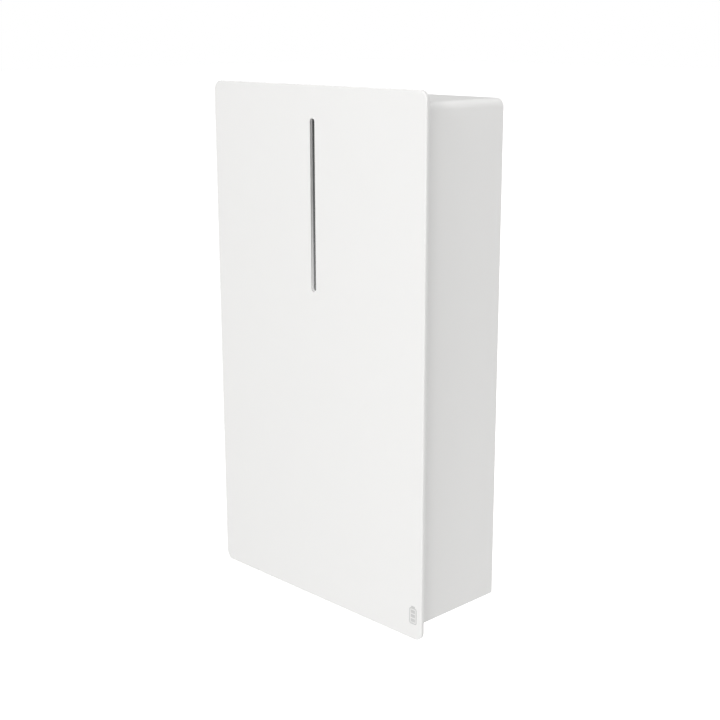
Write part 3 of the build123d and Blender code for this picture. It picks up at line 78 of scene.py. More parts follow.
# ---------------------------------------------------------------- studio
# A pale floor well below the unit, which hangs clear of it as on a wall, pale surroundings and five
# soft lamps. The two in front stand a little to the right, so they graze the unit's right side.
FLOOR_DROP = 0.6  # from the unit's lowest point
FLOOR_HALF = 40.0
FLOOR_GLOW = 0.12
FLOOR_SEEN_GLOW = 1.0
SURROUND = 0.25
LAMPS = {  # place, size, watts; each one faces the middle of the unit
    "left_lamp": ((-1.2, -4.5, 1.6), 3.0, 19.5),
    "front_lamp": ((0.95, -4.6, 2.2), 1.0, 63.5),
    "side_lamp": ((2.2, -4.0, 0.8), 1.5, 36.5),
    "rear_lamp": ((3.6, 1.6, 0.6), 2.0, 26.5),
    "top_lamp": ((0.3, -0.3, 4.0), 3.0, 84.0),
}

unit_low, unit_high = (Vector(corner) for corner in cad_box)
unit_middle = (unit_low + unit_high) / 2
for name, (place, size, watts) in LAMPS.items():
    lamp_data = bpy.data.lights.new(name, "AREA")
    lamp_data.shape = "DISK"
    lamp_data.size = size
    lamp_data.energy = watts
    lamp = bpy.data.objects.new(name, lamp_data)
    lamp.location = place
    lamp.rotation_euler = (unit_middle - Vector(place)).to_track_quat("-Z", "Y").to_euler()
    scene.collection.objects.link(lamp)


def add_node(tree, kind, values=(), **settings):
    """Add a shader node, set it up and fill its sockets from numbers or from other nodes' outputs."""
    node = tree.nodes.new("ShaderNode" + kind)
    for setting, value in settings.items():
        setattr(node, setting, value)
    for socket, value in values:
        if isinstance(value, bpy.types.NodeSocket):
            tree.links.new(value, node.inputs[socket])
        else:
            node.inputs[socket].default_value = value
    return node


world = bpy.data.worlds.new("studio")
scene.world = world
world.use_nodes = True
sky = world.node_tree
surround = sky.nodes["Background"]
surround.inputs["Color"].default_value = (1.0, 0.998, 0.994, 1.0)
surround.inputs["Strength"].default_value = SURROUND
backdrop = add_node(sky, "Background", [("Color", (1.0, 1.0, 1.0, 1.0))])
seen = add_node(sky, "LightPath").outputs["Is Camera Ray"]
choice = add_node(sky, "MixShader", [(0, seen), (1, surround.outputs[0]), (2, backdrop.outputs[0])])
sky.links.new(choice.outputs[0], sky.nodes["World Output"].inputs["Surface"])
scene.view_settings.view_transform = "Standard"

floor_shape = bmesh.new()
bmesh.ops.create_grid(floor_shape, x_segments=2, y_segments=2, size=FLOOR_HALF)
bmesh.ops.translate(floor_shape, vec=(0.0, 0.0, unit_low.z - FLOOR_DROP), verts=floor_shape.verts)
floor_mesh = bpy.data.meshes.new("floor")
floor_shape.to_mesh(floor_mesh)
floor_shape.free()
floor_paper = bpy.data.materials.new("floor paper")
floor_paper.use_nodes = True
paper = floor_paper.node_tree
paper_shader = paper.nodes["Principled BSDF"]
paper_shader.inputs["Base Color"].default_value = (0.94, 0.94, 0.935, 1.0)
paper_shader.inputs["Roughness"].default_value = 0.9
paper_shader.inputs["Emission Color"].default_value = (1.0, 1.0, 1.0, 1.0)
seen = add_node(paper, "LightPath").outputs["Is Camera Ray"]
glow_values = [(0, seen), (1, FLOOR_SEEN_GLOW), (2, FLOOR_GLOW)]
glow = add_node(paper, "Math", glow_values, operation="MULTIPLY_ADD").outputs[0]
paper.links.new(glow, paper_shader.inputs["Emission Strength"])
floor_mesh.materials.append(floor_paper)
floor = bpy.data.objects.new("floor", floor_mesh)
scene.collection.objects.link(floor)

# ---------------------------------------------------------------- wall bracket, hooks and buffers
# The bracket is folded from 3 mm zinc-plated steel and bolts to the wall. Two folded hooks welded to the
# case hang over its lip, and two rubber buffers hold the lower end of the case off the wall.
ZINC = (0.58, 0.59, 0.60)
BLACK_RUBBER = (0.022, 0.022, 0.023)


def surface_group(name, relief, clouds):
    """A group with a fine relief and a slow change of tone, made by two functions of place and scale."""
    group = bpy.data.node_groups.new(name, "ShaderNodeTree")
    for label in ("Grain size", "Tone spread", "Roughness", "Gloss spread"):
        group.interface.new_socket(label, in_out="INPUT", socket_type="NodeSocketFloat")
    for label in ("Tone", "Roughness", "Height"):
        group.interface.new_socket(label, in_out="OUTPUT", socket_type="NodeSocketFloat")
    given = group.nodes.new("NodeGroupInput").outputs
    where = add_node(group, "TexCoord").outputs["Object"]
    scale = add_node(group, "Math", [(0, 1000.0), (1, given["Grain size"])], operation="DIVIDE").outputs[0]
    height = relief(group, where, scale)
    drift = add_node(group, "Math", [(0, clouds(group, where)), (1, 0.5)], operation="SUBTRACT").outputs[0]
    tone_values = [(0, drift), (1, given["Tone spread"]), (2, 1.0)]
    tone = add_node(group, "Math", tone_values, operation="MULTIPLY_ADD").outputs[0]
    uneven = add_node(group, "Math", [(0, height), (1, 0.5)], operation="SUBTRACT").outputs[0]
    gloss_values = [(0, uneven), (1, given["Gloss spread"]), (2, given["Roughness"])]
    gloss = add_node(group, "Math", gloss_values, operation="MULTIPLY_ADD").outputs[0]
    out = group.nodes.new("NodeGroupOutput")
    for label, value in (("Tone", tone), ("Roughness", gloss), ("Height", height)):
        group.links.new(value, out.inputs[label])
    return group


def noise(tree, where, scale, detail=2.0):
    """Noise from 0 to 1 at a scale given as a number or a socket."""
    values = [("Vector", where), ("Scale", scale), ("Detail", detail)]
    return add_node(tree, "TexNoise", values).outputs["Fac"]


def finish(name, group, colour, roughness, grain=1.0, tone=0.05, gloss=0.08, bump=0.1, **sockets):
    """A material whose colour, roughness and relief follow one of the surface groups; grain in mm."""
    material = bpy.data.materials.new(name)
    material.use_nodes = True
    tree = material.node_tree
    shader = tree.nodes["Principled BSDF"]
    amounts = {"Grain size": grain, "Tone spread": tone, "Roughness": roughness, "Gloss spread": gloss}
    surface = add_node(tree, "Group", node_tree=group)
    for label, value in amounts.items():
        surface.inputs[label].default_value = value
    dyed = add_node(tree, "Mix", data_type="RGBA", blend_type="MULTIPLY")
    dyed.inputs[0].default_value = 1.0
    dyed.inputs[6].default_value = (*colour, 1.0)
    tree.links.new(surface.outputs["Tone"], dyed.inputs[7])
    relief_values = [("Strength", bump), ("Distance", grain * mm), ("Height", surface.outputs["Height"])]
    relief = add_node(tree, "Bump", relief_values)
    tree.links.new(dyed.outputs[2], shader.inputs["Base Color"])
    tree.links.new(surface.outputs["Roughness"], shader.inputs["Roughness"])
    tree.links.new(relief.outputs["Normal"], shader.inputs["Normal"])
    for label, value in sockets.items():
        shader.inputs[label.replace("_", " ")].default_value = value
    return material


def dress(material, *nodes):
    """Give CAD nodes one finish."""
    for name in nodes:
        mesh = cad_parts[name].data
        mesh.materials.clear()
        mesh.materials.append(material)


def rolling_streaks(tree, where, scale):
    """Fine streaks that run up the sheet."""
    squeezed = add_node(tree, "Mapping", [("Vector", where), ("Scale", (1.0, 1.0, 0.03))]).outputs["Vector"]
    return noise(tree, squeezed, scale, 3.0)


def spangle(tree, where):
    """Patches of zinc crystals."""
    cells = add_node(tree, "TexVoronoi", [("Vector", where), ("Scale", 90.0)]).outputs["Color"]
    return add_node(tree, "SeparateColor", [(0, cells)]).outputs[0]


def fine_grit(tree, where, scale):
    """An even, shallow grit."""
    return noise(tree, where, scale, 3.0)


def drift_of_tone(tree, where):
    """A tone that drifts over a hand's width."""
    return noise(tree, where, 9.0, 4.0)


rolled_sheet = surface_group("rolled sheet", rolling_streaks, spangle)
moulding = surface_group("moulding", fine_grit, drift_of_tone)
zinc = finish("zinc", rolled_sheet, ZINC, 0.38, grain=0.8, tone=0.22, gloss=0.16, bump=0.12, Metallic=1.0)
rubber = finish("rubber", moulding, BLACK_RUBBER, 0.85, grain=0.5, tone=0.3, gloss=0.1, bump=0.35)
dress(zinc, "wall_bracket", "hanging_hooks")
dress(rubber, "wall_buffers")

# ---------------------------------------------------------------- sealed case
# Welded from 2 mm steel and coated pale grey, with a front flange that carries the rivet nuts and the
# rubber foam seal. Shelves of the same sheet hold the battery modules.
CASE_ENAMEL = (0.66, 0.665, 0.67)
GREY_FOAM = (0.085, 0.086, 0.088)


def foam_cells(tree, where, scale):
    """Small open cells."""
    return add_node(tree, "TexVoronoi", [("Vector", where), ("Scale", scale)]).outputs["Distance"]


powder_coat = surface_group("powder coat", fine_grit, drift_of_tone)
foamed = surface_group("foam", foam_cells, drift_of_tone)
case_enamel = finish("case enamel", powder_coat, CASE_ENAMEL, 0.5, grain=1.2, tone=0.03, bump=0.12)
foam = finish("foam", foamed, GREY_FOAM, 0.95, grain=1.2, tone=0.2, gloss=0.04, bump=0.6)
dress(case_enamel, "enclosure", "module_shelves")
dress(zinc, "threaded_inserts", "case_screws", "equipment_plate")
dress(foam, "cover_gasket")

# ---------------------------------------------------------------- battery modules
# Four stacks of sixteen prismatic cells in blue film, clamped between aluminium end plates by steel
# bands. Copper bars join the cells under a moulded lid, and a small board in front reads their voltages.
MODULES = 4
CELLS = 16
CELL_WIDTH = 26.7 * mm
CELL_DEPTH = 148.3 * mm
CELL_HEIGHT = 95.0 * mm
CELL_STEP = 27.2 * mm
CELL_EDGE = 2.0 * mm
POLE_RADIUS = 7.0 * mm
POLE_COLLAR = 8.2 * mm  # radius of the gasket round a pole
POLE_HEIGHT = 2.5 * mm
POLE_STEP = 100.0 * mm
VENT_WIDTH = 11.0 * mm
VENT_LENGTH = 22.0 * mm
MODULE_STEP = 138.0 * mm
FILM_BLUE = (0.035, 0.125, 0.30)
ALUMINIUM = (0.80, 0.80, 0.81)
COPPER = (0.86, 0.42, 0.24)
LID_ORANGE = (0.86, 0.25, 0.03)


def new_items(items, known):
    """The items of a shape that weren't there before."""
    return [item for item in items if item not in known]


def add_block(shape, low, high, edge=0.0, segments=2, look=0):
    """A box between two corners, with rounded edges."""
    known = set(shape.faces)
    low, high = Vector(low), Vector(high)
    place = Matrix.Translation((low + high) / 2) @ Matrix.Diagonal((*(high - low), 1.0))
    made = bmesh.ops.create_cube(shape, size=1.0, matrix=place)["verts"]
    if edge:
        edges = list({side for vert in made for side in vert.link_edges})
        bmesh.ops.bevel(
            shape, geom=edges, offset=edge, affect="EDGES", segments=segments, profile=0.5, material=-1
        )
    for face in new_items(shape.faces, known):
        face.material_index = look


def add_turned(shape, base, axis, outline, steps=24, look=0):
    """A turned body from (radius, height) points, swept round an axis through its base."""
    known_verts = set(shape.verts)
    known_faces = set(shape.faces)
    base = Vector(base)
    turn = Vector((0.0, 0.0, 1.0)).rotation_difference(Vector(axis)).to_matrix().to_4x4()
    place = Matrix.Translation(base) @ turn
    points = [shape.verts.new(place @ Vector((radius, 0.0, height))) for radius, height in outline]
    lines = [shape.edges.new(pair) for pair in zip(points, points[1:])]
    bmesh.ops.spin(
        shape, geom=points + lines, cent=base, axis=axis, angle=2 * math.pi, steps=steps, use_merge=True
    )
    bmesh.ops.remove_doubles(shape, verts=new_items(shape.verts, known_verts), dist=1e-6)
    made = new_items(shape.faces, known_faces)
    bmesh.ops.recalc_face_normals(shape, faces=made)
    for face in made:
        face.material_index = look


def repeat(shape, moves):
    """Copy everything in a shape to each move, and drop the original."""
    original = shape.verts[:] + shape.edges[:] + shape.faces[:]
    for move in moves:
        copy = bmesh.ops.duplicate(shape, geom=original)["geom"]
        verts = [item for item in copy if isinstance(item, bmesh.types.BMVert)]
        bmesh.ops.translate(shape, vec=move, verts=verts)
    verts = [item for item in original if isinstance(item, bmesh.types.BMVert)]
    bmesh.ops.delete(shape, geom=verts, context="VERTS")


def piece_from(name, shape, body, slot, *covers, looks, crease=35.0):
    """Turn a finished shape into a piece that rides on its body and stands for the nodes it covers."""
    mesh = bpy.data.meshes.new(name)
    shape.to_mesh(mesh)
    shape.free()
    for look in looks:
        mesh.materials.append(look)
    mesh.shade_smooth()
    mesh.set_sharp_from_angle(angle=math.radians(crease))
    piece = bpy.data.objects.new(name, mesh)
    scene.collection.objects.link(piece)
    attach(piece, body)
    if covers:
        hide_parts(*covers)
    return piece


film = finish("cell film", moulding, FILM_BLUE, 0.32, grain=6.0, tone=0.25, gloss=0.12, bump=0.05)
film_top = finish("cell top", moulding, (0.72, 0.73, 0.74), 0.55, grain=2.0, tone=0.1, bump=0.1)
aluminium = finish(
    "aluminium", rolled_sheet, ALUMINIUM, 0.34, grain=0.6, tone=0.06, gloss=0.14, bump=0.1, Metallic=1.0
)
copper = finish(
    "copper", rolled_sheet, COPPER, 0.28, grain=0.5, tone=0.16, gloss=0.18, bump=0.08, Metallic=1.0
)
lid_plastic = finish("lid plastic", moulding, LID_ORANGE, 0.48, grain=0.5, tone=0.06, bump=0.12)

cells_low, cells_high = (Vector(corner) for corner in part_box("battery_cells"))
cell = bmesh.new()
half = CELL_WIDTH / 2
back = cells_high.y
front = back - CELL_DEPTH
add_block(cell, (-half, front, 0.0), (half, back, CELL_HEIGHT - 0.4 * mm), CELL_EDGE, 3)
rim = 1.5 * mm
top = CELL_HEIGHT
cap_low = (rim - half, front + rim, top - 0.6 * mm)
add_block(cell, cap_low, (half - rim, back - rim, top), 0.2 * mm, 1, look=1)
middle = (front + back) / 2
for pole_y in (middle - POLE_STEP / 2, middle + POLE_STEP / 2):
    pole = [(0.0, 0.0), (POLE_COLLAR, 0.0), (POLE_COLLAR, 0.6 * mm), (POLE_RADIUS, 0.9 * mm)]
    pole += [(POLE_RADIUS, POLE_HEIGHT - 0.3 * mm), (POLE_RADIUS - 0.3 * mm, POLE_HEIGHT), (0.0, POLE_HEIGHT)]
    add_turned(cell, (0.0, pole_y, top), (0, 0, 1), pole, 20, look=2)
vent_half = VENT_WIDTH / 2
add_block(
    cell,
    (-vent_half, middle - VENT_LENGTH / 2, top - 0.2 * mm),
    (vent_half, middle + VENT_LENGTH / 2, top + 0.4 * mm),
    0.3 * mm,
    1,
    look=2,
)
cell_moves = []
for module in range(MODULES):
    for i in range(CELLS):
        x = (i - (CELLS - 1) / 2) * CELL_STEP
        cell_moves.append((x, 0.0, cells_low.z + module * MODULE_STEP))
repeat(cell, cell_moves)
piece_from("cell_stacks", cell, "cabinet", "cell_blue", "battery_cells", looks=[film, film_top, aluminium])
dress(aluminium, "module_frames")
dress(copper, "copper_bars")
dress(lid_plastic, "module_lids")

# ---------------------------------------------------------------- circuit boards
# Green glass-fibre boards with copper tracks under the lacquer and tinned pads. Each module has one, and
# the power stage, the battery management, the data sockets and the status light have one each.
BOARD_GREEN = (0.012, 0.095, 0.045)
TRACK_GREEN = (0.03, 0.19, 0.085)
TIN = (0.72, 0.72, 0.70)
CHIP_BLACK = (0.018, 0.018, 0.02)
TRACK_SHARE = 0.035  # width of a track, as a share of the pitch
PAD_SHARE = 0.13  # radius of a pad
CHIP_STEP = 9.0 * mm
POWER_FACE = -66.1 * mm
MANAGEMENT_FACE = -31.1 * mm
MONITOR_FACE = -180.7 * mm
MONITOR_SIZE = (130.0 * mm, 56.0 * mm)
MONITOR_RISE = 47.5 * mm  # from the foot of a module to the middle of its board


def track_group():
    """Tracks that run in steps across a board, and round pads."""
    group = bpy.data.node_groups.new("board tracks", "ShaderNodeTree")
    group.interface.new_socket("Track pitch", in_out="INPUT", socket_type="NodeSocketFloat")
    for label in ("Tracks", "Pads", "Height"):
        group.interface.new_socket(label, in_out="OUTPUT", socket_type="NodeSocketFloat")
    pitch = group.nodes.new("NodeGroupInput").outputs["Track pitch"]
    where = add_node(group, "TexCoord").outputs["Object"]
    scale = add_node(group, "Math", [(0, 1000.0), (1, pitch)], operation="DIVIDE").outputs[0]
    upright = [("Vector", where), ("Rotation", (-math.pi / 2, 0.0, 0.0))]
    flat = add_node(group, "Mapping", upright).outputs["Vector"]
    brick_values = [("Vector", flat), ("Scale", scale)]
    brick_values += [("Mortar Size", TRACK_SHARE), ("Mortar Smooth", 0.2), ("Bias", 0.0)]
    bricks = add_node(group, "TexBrick", brick_values, offset=0.37, squash=0.6, squash_frequency=3)
    dots = add_node(group, "TexVoronoi", [("Vector", where), ("Scale", scale), ("Randomness", 0.55)])
    pad_values = [(0, dots.outputs["Distance"]), (1, PAD_SHARE)]
    pads = add_node(group, "Math", pad_values, operation="LESS_THAN").outputs[0]
    raised = add_node(group, "Math", [(0, bricks.outputs["Fac"]), (1, pads)], operation="MAXIMUM").outputs[0]
    out = group.nodes.new("NodeGroupOutput")
    for label, value in (("Tracks", bricks.outputs["Fac"]), ("Pads", pads), ("Height", raised)):
        group.links.new(value, out.inputs[label])
    return group


def board_finish(name, pitch):
    """Lacquered board with tracks of this pitch in mm."""
    material = bpy.data.materials.new(name)
    material.use_nodes = True
    tree = material.node_tree
    shader = tree.nodes["Principled BSDF"]
    tracks = add_node(tree, "Group", node_tree=board_tracks)
    tracks.inputs["Track pitch"].default_value = pitch
    base = add_node(tree, "Mix", data_type="RGBA")
    base.inputs[6].default_value = (*BOARD_GREEN, 1.0)
    base.inputs[7].default_value = (*TRACK_GREEN, 1.0)
    tree.links.new(tracks.outputs["Tracks"], base.inputs[0])
    tinned = add_node(tree, "Mix", data_type="RGBA")
    tinned.inputs[7].default_value = (*TIN, 1.0)
    tree.links.new(tracks.outputs["Pads"], tinned.inputs[0])
    tree.links.new(base.outputs[2], tinned.inputs[6])
    relief_values = [("Strength", 0.4), ("Distance", 0.1 * mm), ("Height", tracks.outputs["Height"])]
    relief = add_node(tree, "Bump", relief_values)
    tree.links.new(tinned.outputs[2], shader.inputs["Base Color"])
    tree.links.new(tracks.outputs["Pads"], shader.inputs["Metallic"])
    tree.links.new(relief.outputs["Normal"], shader.inputs["Normal"])
    shader.inputs["Roughness"].default_value = 0.3
    return material


def add_small_parts(shape, x, z, face, first):
    """Rows of chips and small parts on a board that faces out of the wall."""
    columns = int((x[1] - x[0]) / CHIP_STEP)
    rows = int((z[1] - z[0]) / CHIP_STEP)
    for i in range(columns):
        for j in range(rows):
            kind = (i * 7 + j * 5 + i * j + first) % 6
            if kind > 3:
                continue
            wide, high, tall = ((1.2, 0.6, 0.5), (0.7, 1.6, 0.6), (3.0, 2.5, 1.0), (1.6, 3.2, 1.3))[kind]
            mid_x = x[0] + (i + 0.5) * CHIP_STEP
            mid_z = z[0] + (j + 0.5) * CHIP_STEP
            low = (mid_x - wide * mm, face - tall * mm, mid_z - high * mm)
            high_corner = (mid_x + wide * mm, face, mid_z + high * mm)
            add_block(shape, low, high_corner, 0.12 * mm, 1, look=1 if kind < 2 else 0)


board_tracks = track_group()
board = board_finish("circuit board", 5.0)
epoxy = finish("black epoxy", moulding, CHIP_BLACK, 0.5, grain=0.4, tone=0.3, bump=0.15)
tinned_ends = finish("tinned ends", moulding, (0.42, 0.36, 0.28), 0.35, grain=0.5, tone=0.2, bump=0.1)
dress(board, "bms_board", "power_board", "small_boards", "led_board")
dress(epoxy, "bms_components", "power_transistors")
small_parts = bmesh.new()
sink_low, sink_high = (Vector(corner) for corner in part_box("heatsink"))
edge = 8.0 * mm
add_small_parts(
    small_parts, (sink_low.x + edge, sink_high.x - edge), (-470.0 * mm, -425.0 * mm), POWER_FACE, first=2
)
bms_low, bms_high = (Vector(corner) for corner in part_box("bms_board"))
parts_high = (bms_low.z + 26 * mm, bms_low.z + 60 * mm)
add_small_parts(small_parts, (bms_low.x + edge, bms_high.x - edge), parts_high, MANAGEMENT_FACE, first=1)
for module in range(MODULES):
    middle = cells_low.z + module * MODULE_STEP + MONITOR_RISE
    half = MONITOR_SIZE[0] / 2 - edge
    for low, high in ((-26.0 * mm, -8.0 * mm), (8.0 * mm, 26.0 * mm)):
        add_small_parts(small_parts, (-half, half), (middle + low, middle + high), MONITOR_FACE, module)
piece_from("board_parts", small_parts, "cabinet", "black_epoxy", looks=[epoxy, tinned_ends])

# ---------------------------------------------------------------- power stage
# An extruded aluminium heatsink with the power transistors clamped to it. The board in front carries
# three ring chokes wound with enamelled wire, and six can capacitors in printed sleeves.
CHOKE_STEP = 52.0 * mm
CHOKE_MIDDLE = (-150.0 * mm, -397.0 * mm)
CHOKE_RING = 17.5 * mm  # mean radius
CHOKE_HALF = (6.2 * mm, 9.0 * mm)  # half section, along the radius and along the axis
CHOKE_TURNS = 26
WIRE_RADIUS = 0.9 * mm
WIRE_COVER = 1.2 * mm  # from the windings' outside to the core
CAN_RADIUS = 11.0 * mm
CAN_LENGTH = 35.0 * mm
CAN_STEP = 170.0 / 6 * mm
CAN_ROWS = (-523.0 * mm, -501.0 * mm)
CANS = 6

ferrite = finish("ferrite", moulding, (0.05, 0.05, 0.055), 0.6, grain=0.8, tone=0.2, bump=0.2)
enamelled_wire = finish(
    "enamelled wire", rolled_sheet, (0.62, 0.20, 0.07), 0.25, grain=0.4, tone=0.2, Metallic=0.8
)
can_sleeve = finish("can sleeve", moulding, (0.025, 0.035, 0.06), 0.35, grain=3.0, tone=0.25, bump=0.06)
dress(aluminium, "heatsink")

chokes = bmesh.new()
wide, tall = (half_size - WIRE_COVER for half_size in CHOKE_HALF)
core = [(CHOKE_RING + wide, tall), (CHOKE_RING - wide, tall)]
core += [(CHOKE_RING - wide, -tall), (CHOKE_RING + wide, -tall)]
add_turned(chokes, (0, 0, 0), (0, 0, 1), core + core[:1], 40, look=0)
winding = bmesh.new()
beside_core = Matrix.Translation((CHOKE_HALF[0] - WIRE_RADIUS, 0.0, 0.0))
circle = bmesh.ops.create_circle(winding, segments=8, radius=WIRE_RADIUS, matrix=beside_core)
loop = circle["verts"] + list({side for vert in circle["verts"] for side in vert.link_edges})
bmesh.ops.spin(
    winding, geom=loop, cent=(0, 0, 0), axis=(0, 1, 0), angle=2 * math.pi, steps=16, use_merge=True
)
stretch = (CHOKE_HALF[1] - WIRE_RADIUS) / (CHOKE_HALF[0] - WIRE_RADIUS)
bmesh.ops.scale(winding, vec=(1.0, 1.0, stretch), verts=winding.verts)
bmesh.ops.recalc_face_normals(winding, faces=winding.faces)
bmesh.ops.translate(winding, vec=(CHOKE_RING, 0.0, 0.0), verts=winding.verts)
first_turn = winding.verts[:] + winding.edges[:] + winding.faces[:]
for turn in range(1, CHOKE_TURNS):
    copy = bmesh.ops.duplicate(winding, geom=first_turn)["geom"]
    verts = [item for item in copy if isinstance(item, bmesh.types.BMVert)]
    angle = Matrix.Rotation(turn * 2 * math.pi / CHOKE_TURNS, 3, "Z")
    bmesh.ops.rotate(winding, cent=(0, 0, 0), matrix=angle, verts=verts)
for face in winding.faces:
    face.material_index = 1
wound = bpy.data.meshes.new("winding")
winding.to_mesh(wound)
winding.free()
chokes.from_mesh(wound)
bpy.data.meshes.remove(wound)
bmesh.ops.rotate(chokes, cent=(0, 0, 0), matrix=Matrix.Rotation(math.pi / 2, 3, "X"), verts=chokes.verts)
choke_y = POWER_FACE - CHOKE_HALF[1] - 0.5 * mm
repeat(chokes, [(CHOKE_MIDDLE[0] + side * CHOKE_STEP, choke_y, CHOKE_MIDDLE[1]) for side in (-1, 0, 1)])
piece_from("chokes", chokes, "cabinet", "ferrite_winding", "power_inductors", looks=[ferrite, enamelled_wire])

cans = bmesh.new()
for i in range(CANS):
    place = (sink_low.x + (i + 0.5) * CAN_STEP, POWER_FACE, CAN_ROWS[i % 2])
    sleeve = [(0.0, 0.0), (CAN_RADIUS - 0.6 * mm, 0.0), (CAN_RADIUS, 0.8 * mm), (CAN_RADIUS, 3.0 * mm)]
    sleeve += [(CAN_RADIUS - 0.9 * mm, 4.0 * mm), (CAN_RADIUS, 5.0 * mm), (CAN_RADIUS, CAN_LENGTH - 1.2 * mm)]
    sleeve += [(CAN_RADIUS - 1.2 * mm, CAN_LENGTH), (CAN_RADIUS - 2.2 * mm, CAN_LENGTH)]
    sleeve += [(CAN_RADIUS - 2.2 * mm, CAN_LENGTH - 0.8 * mm), (0.0, CAN_LENGTH - 0.8 * mm)]
    add_turned(cans, place, (0, -1, 0), sleeve, 28, look=0)
    lid = [(0.0, CAN_LENGTH - 0.9 * mm), (CAN_RADIUS - 2.3 * mm, CAN_LENGTH - 0.9 * mm)]
    lid += [(CAN_RADIUS - 2.5 * mm, CAN_LENGTH - 0.5 * mm), (0.0, CAN_LENGTH - 0.4 * mm)]
    add_turned(cans, place, (0, -1, 0), lid, 28, look=1)
    top_y = POWER_FACE - CAN_LENGTH + 0.45 * mm
    reach = CAN_RADIUS - 4.0 * mm
    for wide, high in ((reach, 0.25 * mm), (0.25 * mm, reach)):
        low = (place[0] - wide, top_y - 0.15 * mm, place[2] - high)
        add_block(cans, low, (place[0] + wide, top_y, place[2] + high), 0.05 * mm, 1, look=0)
can_looks = [can_sleeve, aluminium]
piece_from("capacitor_cans", cans, "cabinet", "capacitor_sleeve", "power_capacitors", looks=can_looks)

# ---------------------------------------------------------------- fan
# A moulded 80 mm fan blows up through the heatsink's fins. Its rotor has seven swept blades moulded in
# one with a hub that covers the motor.
FAN_MIDDLE = (-150.0 * mm, -59.5 * mm)
FAN_BLADES = 7
HUB_FOOT = -353.0 * mm
HUB_RADIUS = 15.0 * mm
BLADE_TIP = 36.3 * mm
BLADE_ROOT_ANGLE = 52.0
BLADE_TIP_ANGLE = 30.0
BLADE_SWEEP = 24.0
BLADE_CHORD = (15.0 * mm, 20.0 * mm)  # at the root and at the tip
BLADE_WALL = 1.2 * mm
BLADE_ROWS = 7
BLADE_LINES = 5
SHAFT_RADIUS = 1.5 * mm

black_plastic = finish("black plastic", moulding, (0.02, 0.02, 0.021), 0.42, grain=0.5, tone=0.25, bump=0.12)
dress(black_plastic, "fan_frame")
rotor_low, rotor_high = (Vector(corner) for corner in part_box("fan_rotor"))
hub_length = rotor_high.z - HUB_FOOT
hub = [(0.0, 0.0), (HUB_RADIUS - 0.5 * mm, 0.0), (HUB_RADIUS, 0.5 * mm), (HUB_RADIUS, hub_length - 2.0 * mm)]
hub += [(HUB_RADIUS - 0.6 * mm, hub_length - 0.6 * mm), (HUB_RADIUS - 2.0 * mm, hub_length)]
hub += [(4.0 * mm, hub_length), (3.4 * mm, hub_length - 0.5 * mm), (0.0, hub_length - 0.5 * mm)]
rotor = bmesh.new()
for i in range(FAN_BLADES):
    known = set(rotor.verts)
    known_faces = set(rotor.faces)
    bmesh.ops.create_grid(rotor, x_segments=BLADE_ROWS - 1, y_segments=BLADE_LINES - 1, size=0.5)
    made = new_items(rotor.verts, known)
    rows = sorted({round(vert.co.x, 4) for vert in made})
    for row in rows:
        line = [vert for vert in made if abs(vert.co.x - row) < 1e-3]
        share = row + 0.5
        chord = BLADE_CHORD[0] + share * (BLADE_CHORD[1] - BLADE_CHORD[0])
        bmesh.ops.scale(rotor, vec=(1.0, chord, 1.0), verts=line)
        pitch = math.radians(BLADE_ROOT_ANGLE + share * (BLADE_TIP_ANGLE - BLADE_ROOT_ANGLE))
        bmesh.ops.rotate(rotor, cent=(0, 0, 0), matrix=Matrix.Rotation(pitch, 3, "X"), verts=line)
        reach = HUB_RADIUS - 1.0 * mm + share * (BLADE_TIP - HUB_RADIUS + 1.0 * mm)
        bmesh.ops.translate(rotor, vec=(reach - row, 0.0, 0.0), verts=line)
        sweep = math.radians(share * BLADE_SWEEP)
        bmesh.ops.rotate(rotor, cent=(0, 0, 0), matrix=Matrix.Rotation(sweep, 3, "Z"), verts=line)
    blade_faces = new_items(rotor.faces, known_faces)
    bmesh.ops.solidify(rotor, geom=blade_faces, thickness=BLADE_WALL)
    made = new_items(rotor.verts, known)
    around = Matrix.Rotation(i * 2 * math.pi / FAN_BLADES, 3, "Z")
    bmesh.ops.rotate(rotor, cent=(0, 0, 0), matrix=around, verts=made)
bmesh.ops.recalc_face_normals(rotor, faces=rotor.faces)
bmesh.ops.translate(rotor, vec=(*FAN_MIDDLE, HUB_FOOT + hub_length / 2), verts=rotor.verts)
add_turned(rotor, (*FAN_MIDDLE, HUB_FOOT), (0, 0, 1), hub, 40)
shaft_end = rotor_low.z - HUB_FOOT
shaft = [(0.0, shaft_end), (SHAFT_RADIUS - 0.3 * mm, shaft_end), (SHAFT_RADIUS, shaft_end + 0.3 * mm)]
shaft += [(SHAFT_RADIUS, 0.0), (0.0, 0.0)]
add_turned(rotor, (*FAN_MIDDLE, HUB_FOOT), (0, 0, 1), shaft, 16, look=1)
piece_from("swept_rotor", rotor, "fan_rotor", "black_nylon", "fan_rotor", looks=[black_plastic, aluminium])

# ---------------------------------------------------------------- switchgear and cables
# Two sealed contactors with threaded copper studs, a ceramic fuse in spring clips, a brass shunt, and a
# two-pole breaker and terminals on a top-hat rail. Orange cables and a black data loom join them up.
CONTACTOR_PLACES = (115.0 * mm, 195.0 * mm)
CONTACTOR_HALF = 30.0 * mm
CONTACTOR_HIGH = (-385.0 * mm, -315.0 * mm)
CONTACTOR_BACK = -19.5 * mm
CONTACTOR_FACE = -74.5 * mm
STUD_HEIGHT = -365.0 * mm
STUD_STEP = 16.0 * mm
STUD_RADIUS = 4.0 * mm

